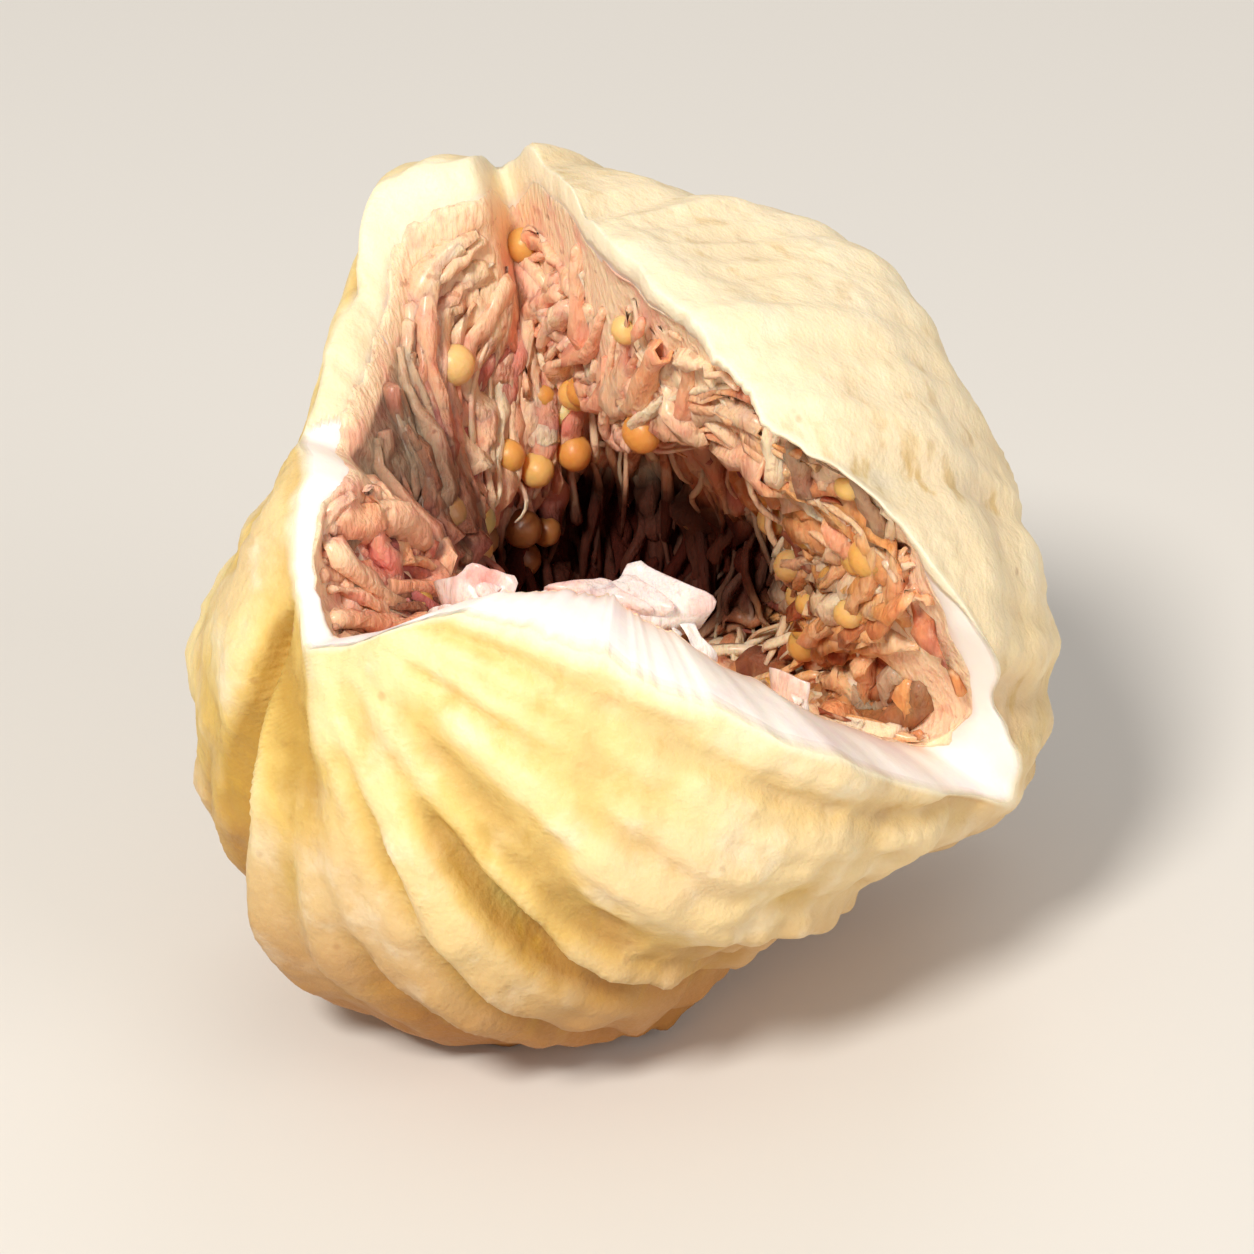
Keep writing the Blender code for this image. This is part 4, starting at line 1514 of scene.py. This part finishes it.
@dataclass
class Florets:
    """Shrunken florets: flattened, curled bodies that hang from the wall to the hollow."""

    form: FigForm
    tint: PulpTint
    count: int = 620
    least_past: float = 0.8
    most_polar: float = 168.0
    by_rim_count: int = 300
    by_rim_past: Span = (0.0, 22.0)
    by_rim_shake: float = 4.0
    patches: tuple = (
        (74.0, 150.0, -0.5, 24.0, 90),
        (160.0, 210.0, 0.0, 16.0, 56),
        (98.0, 154.0, -1.0, 7.0, 52),
    )
    # Some florets, not the draped ones, are darkened whole as painted shade for the gaps between them.
    dark_share: float = 0.16
    longest_step: float = 1.5 * MM
    dark_width: Span = (0.35, 0.7)
    rings: int = 12
    sides: int = 7
    sunk: float = 0.20 * MM
    chosen_lift: float = 0.35 * MM
    under_edge: float = 0.30 * MM
    slim_deg: float = 11.0
    slim_turns: Span = (84.0, 16.0)
    slim_share: Span = (0.35, 0.45)
    chosen_seeds: tuple = (
        (122.0, 5.0, 0.70 * MM), (114.0, 14.0, 0.76 * MM), (100.0, 35.0, 0.66 * MM),
        (82.0, 14.0, 0.68 * MM), (126.0, 20.0, 0.55 * MM), (112.0, 35.0, 0.62 * MM),
        (118.0, 27.5, 0.58 * MM), (70.0, 13.0, 0.60 * MM), (92.0, 40.0, 0.62 * MM),
        (50.0, 27.5, 0.55 * MM), (-8.0, 12.5, 0.62 * MM), (-30.0, 24.0, 0.60 * MM),
    )
    chosen_petals: tuple = (
        (51.0, 27.0, 1.5 * MM), (108.0, 33.0, 1.5 * MM), (112.0, 24.0, 1.1 * MM),
        (168.0, 11.0, 1.7 * MM), (-172.0, 9.0, 1.6 * MM), (-4.0, 16.0, 1.5 * MM),
        (-20.0, 22.0, 1.4 * MM),
    )
    wobble: tuple = ((0.55, 0.30 * MM), (1.6, 0.10 * MM))
    crumple: tuple = ((1.1, 0.34 * MM), (3.2, 0.16 * MM))
    curled_deg: float = 24.0
    tangled_from: float = 0.42
    seed_zone_way: Triple = (0.0, 0.98, -0.15)
    seed_zone_deg: float = 30.0
    seed_share: Span = (0.10, 0.42)
    seed_radius: Span = (0.50, 0.68)
    cup_share: float = 0.06
    cup_wide: Triple = (0.8, 0.62, 0.35)
    cup_thick: Triple = (1.2, 0.9, 0.5)
    cup_thicker: float = 1.5
    lip_turns: Span = (-112.0, -30.0)
    lip_past_deg: float = 9.0
    pale_root: Span = (0.3, 10.0)
    seed: int = 21

    def build(self) -> list[SeedPlace]:
        """Builds and dresses the florets.

        Returns:
            The places of the seeds that they hold.
        """
        random = np.random.default_rng(self.seed)
        shape = Shape()
        places: list[SeedPlace] = []
        for root in self._roots(random):
            self._add(shape, random, root, places)
        shape.dressed("pulp_florets", PulpFinish("pulp_florets").material())
        return places

    def _roots(self, random: np.random.Generator) -> Iterator[Rooted]:
        """The florets' roots, each drawn only when the one before it has grown."""
        drawn = scattered(self.form, random, self.least_past, self.most_polar)
        for turn, past in islice((place for place in drawn if not self._bare(*place)), self.count):
            yield Rooted(turn, past)
        for turn in self.form.rim_turns(self.by_rim_count):
            turn = float(turn + random.uniform(-self.by_rim_shake, self.by_rim_shake))
            past = random.uniform(*self.by_rim_past)
            if not self._bare(turn, past):
                yield Rooted(turn, past)
        for first, last, near, far, count in self.patches:
            for _ in range(count):
                turn = random.uniform(first, last)
                yield Rooted(turn, random.uniform(near, far))
        for turn, past, radius in self.chosen_seeds:
            yield Rooted(turn, past, seed_radius=radius)
        for turn, past, wide in self.chosen_petals:
            yield Rooted(turn, past, petal=wide)

    def _bare(self, turn: float, past: float) -> bool:
        """Whether a place is on the lip's smooth inner edge."""
        low, high = self.lip_turns
        return low < turn < high and past < self.lip_past_deg

    def _kind(self, root: Rooted) -> Kind:
        """The kind of floret that grows at a place."""
        place = self.form.on_lining(np.array(root.turn), np.array(root.past), np.array(0.0))
        way = self.form.face_ways(place)
        if angle_deg(way, unit(self.tint.mauve_way)) < self.curled_deg:
            return Kind.CURLED
        return Kind.DRAPED if way[0] < self.tangled_from else Kind.TANGLED

    def _path(self, random: np.random.Generator, root: Rooted, kind: FloretKind) -> Array:
        """The middle line of one floret, curled like a shaving.

        Args:
            random: Where its random numbers come from.
            root: Where it grows.
            kind: How it grows.

        Returns:
            The points of the line.
        """
        form = self.form
        t = np.linspace(0.0, 1.0, self.rings)
        length = random.uniform(*kind.length_deg)
        arc = length * (t - 1.0) if root.chosen else length * t
        slant = kind.slant_deg * 1.6 * random.normal()
        turns, pasts = form.hanging(root.turn, root.past, arc, slant)
        lift = random.uniform(*kind.lift) * smooth_step((pasts + 4.0) / 18.0)
        lift = lift + self.chosen_lift * root.chosen
        inward = -self.sunk + (self.sunk + lift) * t ** random.uniform(0.5, 1.3)
        inward = inward + self.under_edge * (1.0 - smooth_step(pasts / 12.0))
        path = form.on_lining(turns, pasts, inward)
        along = unit(np.gradient(path, axis=0))
        side = unit(np.cross(along, path - form.middle))
        out = np.cross(side, along)
        coil = random.uniform(0.0, math.tau) + random.uniform(-7.0, 7.0) * t
        size = random.uniform(*kind.curl) * smooth_step(t / 0.35)
        level, raised = size * np.cos(coil), size * np.sin(coil)
        for waves, wide in self.wobble:
            loose = wide * smooth_step(t / 0.25)
            level = level + loose * noise_at(path / MM, waves, random.uniform(0.0, 9.0))
            raised = raised + 0.6 * loose * noise_at(path / MM, waves, random.uniform(0.0, 9.0))
        return path + level[:, None] * side + raised[:, None] * out

    def _tip(self, random: np.random.Generator, root: Rooted, end: Array) -> Tip:
        """What a floret ends in.

        Args:
            random: Where its random numbers come from.
            root: Where it grows.
            end: The point that it ends at.

        Returns:
            Its tip.
        """
        if root.chosen:
            return Tip.SEED if root.seed_radius else Tip.PETAL
        least, most = self.seed_share
        zone = bell(self.form.face_ways(end), self.seed_zone_way, self.seed_zone_deg)
        chosen = random.random()
        if chosen < least + (most - least) * zone:
            return Tip.SEED
        return Tip.CUP if chosen > 1.0 - self.cup_share else Tip.POINT

    def _slim(self, path: Array) -> Array:
        """How wide a floret may be along its path, less by the rim."""
        turns, _, past = self.form.past_rim(self.form.face_ways(path))
        start, over = self.slim_turns
        least, more = self.slim_share
        slim = least + more * smooth_step((turns - start) / over)
        return slim + (1.0 - slim) * smooth_step(past / self.slim_deg)

    def _add(
        self, shape: Shape, random: np.random.Generator, root: Rooted, places: list[SeedPlace]
    ) -> None:
        """Adds one floret, and the place of its seed if it holds one.

        Args:
            shape: What it is added to.
            random: Where its random numbers come from.
            root: Where it grows.
            places: The seeds' places so far.
        """
        t = np.linspace(0.0, 1.0, self.rings)
        grown = self._kind(root)
        kind = grown.value
        path = self._path(random, root, kind)
        if np.linalg.norm(np.diff(path, axis=0), axis=1).max() > self.longest_step:
            return
        tip = self._tip(random, root, path[-1])
        half = 0.5 * (root.petal or random.uniform(*kind.width)) * tip.value.widths(t)
        swell = 1.0 + 0.25 * np.sin(random.uniform(5.0, 10.0) * t + random.uniform(0.0, 6.0))
        wide = half * swell * self._slim(path)
        thick = half * random.uniform(*kind.flatness)
        twist = random.uniform(-0.7, 0.7) + random.uniform(-2.2, 2.2) * t
        order = None
        if tip is Tip.CUP:
            ends = np.array([self.rings - 1, self.rings - 2, self.rings - 3])
            order = [*range(self.rings), *ends]
            wide = np.concatenate([wide, wide[ends] * self.cup_wide])
            thick = np.concatenate([thick * self.cup_thicker, thick[ends] * self.cup_thick])
            twist = np.concatenate([twist, twist[ends]])
        flat_way = path - self.form.middle
        points, faces, along = tube(path, flat_way, wide, thick, self.sides, twist, order)
        points = self._crumpled(points, path, along, shape.number)

        petal = root.petal > 0.0
        tone = np.clip(random.normal(*kind.tone), 0.0, 1.1) + 0.35 * petal
        # Painted shade that darkens this whole floret, for the gaps between florets.
        gloom = random.uniform(*self.dark_width)
        gloom = gloom * (grown is not Kind.DRAPED and random.random() < self.dark_share)
        share, over = self.pale_root
        rooted = (1.0 - smooth_step(along / share)) * (1.0 - smooth_step(root.past / over))
        shape.add(
            points,
            faces,
            tint=tone + 0.2 * (0.6 - along) - self.tint.mauve(points),
            # The hollow's painted shade, raised to the floret's own painted shade where that is darker.
            deep=np.maximum(self.tint.deep(points) * random.uniform(0.965, 1.0), gloom),
            right=np.clip(self.tint.right(points) + random.normal(0.0, 0.18), 0.0, 1.0),
            pale=0.35 * petal + 0.4 * rooted,
        )
        if tip is Tip.SEED:
            direction = unit(path[-1] - path[-2])
            radius = root.seed_radius or random.uniform(*self.seed_radius) * MM
            centre = path[-1] + direction * radius * random.uniform(0.1, 0.5)
            places.append(SeedPlace(centre, direction, radius, float(self.tint.deep(centre))))

    def _crumpled(self, points: Array, path: Array, along: Array, number: float) -> Array:
        """A floret's points, moved in and out by noise.

        Args:
            points: The points.
            path: The floret's middle line.
            along: How far along the line each point is.
            number: The floret's own number, which its noise starts from.

        Returns:
            The moved points.
        """
        last = self.rings - 1
        nearest = path[np.minimum((along * last).round().astype(int), last)]
        rough = sum(
            tall * noise_at(points / MM, waves, 14.0 + number) for waves, tall in self.crumple
        )
        return points + unit(points - nearest + 1e-9) * rough[:, None]


@dataclass
class Seeds:
    """Round golden seeds at the florets' ends."""

    rings: int = 11
    sides: int = 16
    squash: float = 0.9
    dents: float = 0.05
    dent_waves: float = 2.0
    tone: Span = (0.5, 0.22)
    # How much of the hollow's painted shade each seed takes.
    gloom: Span = (0.75, 0.97)
    seed: int = 31

    def build(self, places: Sequence[SeedPlace]) -> bpy.types.Object:
        """Builds and dresses the seeds.

        Args:
            places: Where they sit.

        Returns:
            The object.
        """
        random = np.random.default_rng(self.seed)
        shape = Shape()
        polar = math.pi * (np.arange(self.rings) + 0.5) / self.rings
        turn = math.tau * np.arange(self.sides) / self.sides
        for place in places:
            spin = unit(random.normal(size=3))
            right = unit(np.cross(place.along, spin))
            up = np.cross(right, place.along)
            ring = np.cos(turn)[:, None] * right + np.sin(turn)[:, None] * up * self.squash
            ball = np.cos(polar)[:, None, None] * place.along + np.sin(polar)[:, None, None] * ring
            ways = np.concatenate([ball.reshape(-1, 3), [place.along, -place.along]])
            dents = 1.0 + self.dents * noise_at(ways, self.dent_waves, shape.number)
            shape.add(
                place.centre + ways * place.radius * dents[:, None],
                ball_faces(self.rings, self.sides),
                tint=np.clip(random.normal(*self.tone), 0.0, 1.0),
                # The hollow's painted shade, a little less on some seeds.
                deep=place.deep * random.uniform(*self.gloom),
            )
        return shape.dressed("pulp_seeds", SeedFinish().material())


@dataclass
class Strands:
    """Thin pale fibres between the florets."""

    form: FigForm
    tint: PulpTint
    count: int = 400
    least_past: float = 1.5
    most_polar: float = 165.0
    rings: int = 10
    sides: int = 6
    half_width: Span = (0.07 * MM, 0.24 * MM)
    length_deg: Span = (10.0, 34.0)
    lift: Span = (0.2 * MM, 1.3 * MM)
    slant_deg: float = 9.0
    off_face: float = 0.1 * MM
    tone: Span = (0.8, 0.25)
    seed: int = 41

    def build(self) -> bpy.types.Object:
        """Builds and dresses the strands."""
        random = np.random.default_rng(self.seed)
        form = self.form
        shape = Shape()
        t = np.linspace(0.0, 1.0, self.rings)
        drawn = scattered(form, random, self.least_past, self.most_polar)
        for turn, past in islice(drawn, self.count):
            length = random.uniform(*self.length_deg)
            slant = random.normal(0.0, self.slant_deg)
            turns, pasts = form.hanging(turn, past, length * t, slant)
            sway = random.uniform(-3.0, 3.0)
            turns = turns + sway * np.sin(math.pi * t * random.uniform(0.8, 2.2))
            arch = np.sin(math.pi * t * random.uniform(0.5, 1.0))
            lift = random.uniform(*self.lift) * arch * smooth_step((pasts + 4.0) / 14.0)
            path = form.on_lining(turns, pasts, self.off_face + lift)
            half = random.uniform(*self.half_width)
            wide = half * (0.35 + 0.65 * np.sin(math.pi * (0.1 + 0.8 * t)))
            thick = wide * random.uniform(0.5, 1.0)
            points, faces, _ = tube(path, path - form.middle, wide, thick, self.sides)
            shape.add(
                points,
                faces,
                tint=np.clip(random.normal(*self.tone), 0.0, 1.2),
                # The hollow's painted shade.
                deep=self.tint.deep(points) * random.uniform(0.95, 1.0),
                right=np.clip(self.tint.right(points) + random.normal(0.0, 0.2), 0.0, 1.0),
                pale=0.0,
            )
        return shape.dressed("pulp_strands", PulpFinish("pulp_strands").material())


@dataclass
class Membranes:
    """Pale torn bits of flesh that stand along the inner edge of the rim."""

    form: FigForm
    tint: PulpTint
    chosen: tuple = (
        (-152.0, 1.1 * MM, 5.0, 0.1), (-106.0, 1.5 * MM, 3.0, 0.25), (-92.0, 1.3 * MM, 5.5, 0.5),
        (-76.0, 1.7 * MM, 10.5, 0.6), (-57.0, 0.3 * MM, 11.0, 1.0), (-44.0, 1.0 * MM, 2.5, 0.5),
    )
    pink: Colour = srgb(246, 200, 190)
    white: Colour = srgb(255, 243, 234)
    small_count: int = 9
    small_turns: Span = (-160.0, -36.0)
    small_width: Span = (0.2 * MM, 0.5 * MM)
    small_deg: Span = (0.5, 3.5)
    thickness: float = 0.06 * MM
    root_deg: float = 3.0
    off_face: float = 0.1 * MM
    arch: float = 0.25 * MM
    rings: int = 14
    sides: int = 28
    crumple: tuple = ((0.7, 0.36 * MM), (1.8, 0.12 * MM))
    seed: int = 51

    def build(self) -> bpy.types.Object:
        """Builds and dresses the torn bits."""
        random = np.random.default_rng(self.seed)
        shape = Shape()
        for turn, half, tall, white in self.chosen:
            self._add(shape, random, turn, half, tall, white)
        for turn in random.uniform(*self.small_turns, self.small_count):
            half = random.uniform(*self.small_width)
            self._add(shape, random, turn, half, random.uniform(*self.small_deg), random.random())
        finish = PulpFinish("pulp_membranes", pink=self.pink, cream=self.white)
        return shape.dressed("pulp_membranes", finish.material())

    def _add(
        self,
        shape: Shape,
        random: np.random.Generator,
        turn: float,
        half: float,
        tall_deg: float,
        white: float,
    ) -> None:
        """Adds one bit.

        Args:
            shape: What it is added to.
            random: Where its random numbers come from.
            turn: Its turn round the mouth.
            half: Half of its width.
            tall_deg: How far it stands past the edge, in degrees.
            white: How white it is, up to 1.
        """
        t = np.linspace(0.0, 1.0, self.rings)
        past = self.root_deg - (self.root_deg + tall_deg) * t
        inward = self.off_face - self.arch * np.sin(math.pi * t)
        path = self.form.on_lining(turn + random.uniform(-4.0, 4.0) * t, past, inward)
        wide = half * np.sqrt(1.0 - 0.97 * smooth_step((t - 0.25) / 0.75) ** 1.6)
        wide = wide * (1.0 + 0.15 * np.sin(7.0 * t + random.uniform(0.0, 6.0)))
        thick = np.full(self.rings, self.thickness) * (1.2 - 0.7 * t)
        points, faces, along = tube(path, path - self.form.middle, wide, thick, self.sides)
        out = unit(points - self.form.middle)
        side = unit(np.cross(out, path[-1] - path[0]))
        loose = smooth_step(along / 0.5)
        for waves, tall in self.crumple:
            for way, start in ((out, 22.0), (side, 33.0)):
                rough = tall * loose * noise_at(points / MM, waves, start + shape.number)
                points = points + way * rough[:, None]
        shape.add(
            points,
            faces,
            tint=0.35 + 0.35 * random.random(),
            deep=0.0,
            right=0.4 * self.tint.right(points),
            pale=white * (0.7 + 0.3 * along),
        )


@dataclass
class Stem:
    """The cut stub of the stem, out of the neck."""

    form: FigForm
    radius: float = 1.25 * MM
    end_radius: float = 1.45 * MM
    foot: float = 0.75 * MM
    foot_at: Span = (0.38, 0.2)
    length: float = 4.6 * MM
    proud: float = 1.7 * MM
    sides: int = 72
    rings: int = 22
    grooves: int = 11
    wrinkles: float = 2.4
    ragged: float = 0.35 * MM
    cut_rings: tuple = (0.9, 0.72, 0.5, 0.3, 0.12)
    cut_rise: float = 0.10 * MM
    cut_hole: Span = (0.35 * MM, 0.35)
    cut_waves: float = 9.0
    tip_from: Span = (0.62, 0.3)

    def build(self) -> bpy.types.Object:
        """Builds and dresses the stub."""
        form = self.form
        right, up, out = (form.turned(way) for way in form.stem)
        end = float(form.outside(form.stem[2])) + self.proud
        t = np.linspace(0.0, 1.0, self.rings)[:, None]
        turn = math.tau * np.arange(self.sides) / self.sides
        waves = disc_points(turn, self.wrinkles) + t[..., None]
        wrinkle = noise_at(waves, 1.0, 15.0) + 0.5 * noise_at(waves * (3.0, 3.0, 1.0), 1.0, 16.0)
        grooved = np.abs(np.sin(0.5 * self.grooves * turn + 1.3 * wrinkle))
        start, over = self.foot_at
        radius = self.radius + (self.end_radius - self.radius) * t**2
        radius = radius + self.foot * np.exp(-(((t - start) / over) ** 2))
        radius = radius * (0.93 + 0.10 * grooved + 0.14 * wrinkle)
        height = end - self.length * (1.0 - t) + self.ragged * wrinkle * t**3
        side = np.cos(turn)[:, None] * right + np.sin(turn)[:, None] * up
        walls = form.middle + out * height[..., None] + side * radius[..., None]

        inwards = np.array(self.cut_rings)[:, None]
        deep, wide = self.cut_hole
        fibres = noise_at(side[None] * inwards[..., None] * self.cut_waves, 1.0, 17.0)
        top = height[-1] + self.cut_rise * (1.0 - inwards**2 + fibres)
        top = top - deep * np.exp(-((inwards / wide) ** 2))
        cap = form.middle + out * top[..., None] + side * (radius[-1] * inwards)[..., None]
        rings = np.concatenate([walls, cap])
        poles = form.middle + np.outer([end - self.length, end - 0.3 * MM], out)

        cut = np.concatenate([np.zeros(self.rings - 1), [0.4], np.ones(len(inwards))])
        start, over = self.tip_from
        tip = np.concatenate([smooth_step((t[:, 0] - start) / over), np.ones(len(inwards))])
        # How deep each point sits in a groove, for the painted shade there.
        groove = np.concatenate([1.0 - grooved, np.zeros((len(inwards), self.sides))])
        shape = Shape()
        shape.add(
            np.concatenate([rings.reshape(-1, 3), poles]),
            ball_faces(len(rings), self.sides),
            cut=np.concatenate([np.repeat(cut, self.sides), [0.0, 1.0]]),
            groove=np.concatenate([groove.ravel(), [0.0, 0.0]]),
            up=np.concatenate([np.repeat(tip, self.sides), [0.0, 1.0]]),
        )
        return shape.dressed("stem_stub", StemFinish().material())


@dataclass
class Studio:
    """A plain pale floor, soft light and the camera at the photograph's angle."""

    elevation_deg: float = 28.0
    lens_mm: float = 150.0
    distance: float = 0.1685
    clip: Span = (0.01, 5.0)
    look_at: Triple = (0.0, 0.0, 0.0125)
    floor_half: float = 0.6
    world_colour: Colour = (1.0, 0.965, 0.915)
    world_strength: float = 0.36
    lights: tuple = (
        ("key", (-0.14, -0.30, 0.34), 0.10, 2.0, (1.0, 0.95, 0.87)),
        ("fill", (0.32, -0.26, 0.20), 0.30, 0.55, (1.0, 0.97, 0.94)),
        ("back", (0.06, 0.32, 0.28), 0.24, 0.22, (1.0, 0.96, 0.9)),
    )

    def build(self) -> None:
        """Builds the floor, the lights and the camera."""
        self._floor()
        world = bpy.data.worlds.new("studio")
        world.use_nodes = True
        background = world.node_tree.nodes["Background"]
        background.inputs["Color"].default_value = (*self.world_colour, 1.0)
        background.inputs["Strength"].default_value = self.world_strength
        bpy.context.scene.world = world
        for name, place, size, power, colour in self.lights:
            self._light(name, Vector(place), size, power, colour)
        self._camera()
        bpy.context.scene.view_settings.view_transform = "Standard"

    def _floor(self) -> None:
        """A level sheet under the fig."""
        corners = self.floor_half * np.array([(-1, -1, 0), (1, -1, 0), (1, 1, 0), (-1, 1, 0)])
        shape = Shape()
        shape.add(corners, [np.array([[0, 1, 2, 3]])])
        floor = shape.piece("floor")
        floor.data.materials.append(FloorFinish().material())
        floor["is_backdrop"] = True

    def _light(self, name: str, place: Vector, size: float, power: float, colour: Colour) -> None:
        """Adds one soft, round area light that faces the fig.

        Args:
            name: Its name.
            place: Where it is.
            size: Its width.
            power: Its power in watts.
            colour: Its colour.
        """
        lamp = bpy.data.lights.new(name, "AREA")
        lamp.shape = "DISK"
        lamp.size = size
        lamp.energy = power
        lamp.color = colour
        self._add(name, lamp, place)

    def _camera(self) -> None:
        """The camera, straight in front of the open face."""
        camera = bpy.data.cameras.new("camera")
        camera.lens = self.lens_mm
        camera.clip_start, camera.clip_end = self.clip
        rise = math.radians(self.elevation_deg)
        back = Vector((0.0, -math.cos(rise), math.sin(rise)))
        place = Vector(self.look_at) + back * self.distance
        bpy.context.scene.camera = self._add("camera", camera, place)

    def _add(self, name: str, data: bpy.types.ID, place: Vector) -> bpy.types.Object:
        """An object at a place that faces the fig."""
        made = bpy.data.objects.new(name, data)
        made.location = place
        made.rotation_euler = (Vector(self.look_at) - place).to_track_quat("-Z", "Y").to_euler()
        bpy.context.scene.collection.objects.link(made)
        return made


def main() -> None:
    """Builds the fig piece by piece, then the studio."""
    logging.basicConfig(level=logging.INFO, format="%(message)s")
    log = logging.getLogger("dried_fig")
    form = FigForm()
    tint = PulpTint(form)
    rind = Rind(form).build()
    log.info("rind: %d faces", len(rind.data.polygons))
    lining = Lining(form, tint).build()
    log.info("lining: %d faces", len(lining.data.polygons))
    places = Florets(form, tint).build()
    seeds = Seeds().build(places)
    log.info("seeds: %d, %d faces", len(places), len(seeds.data.polygons))
    strands = Strands(form, tint).build()
    log.info("strands: %d faces", len(strands.data.polygons))
    membranes = Membranes(form, tint).build()
    log.info("membranes: %d faces", len(membranes.data.polygons))
    stem = Stem(form).build()
    log.info("stem: %d faces", len(stem.data.polygons))
    Studio().build()
    boxes = {"cad": CAD_BOX, "visual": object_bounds()}
    plain = {name: [[float(x) for x in corner] for corner in box] for name, box in boxes.items()}


if __name__ == "__main__":
    main()
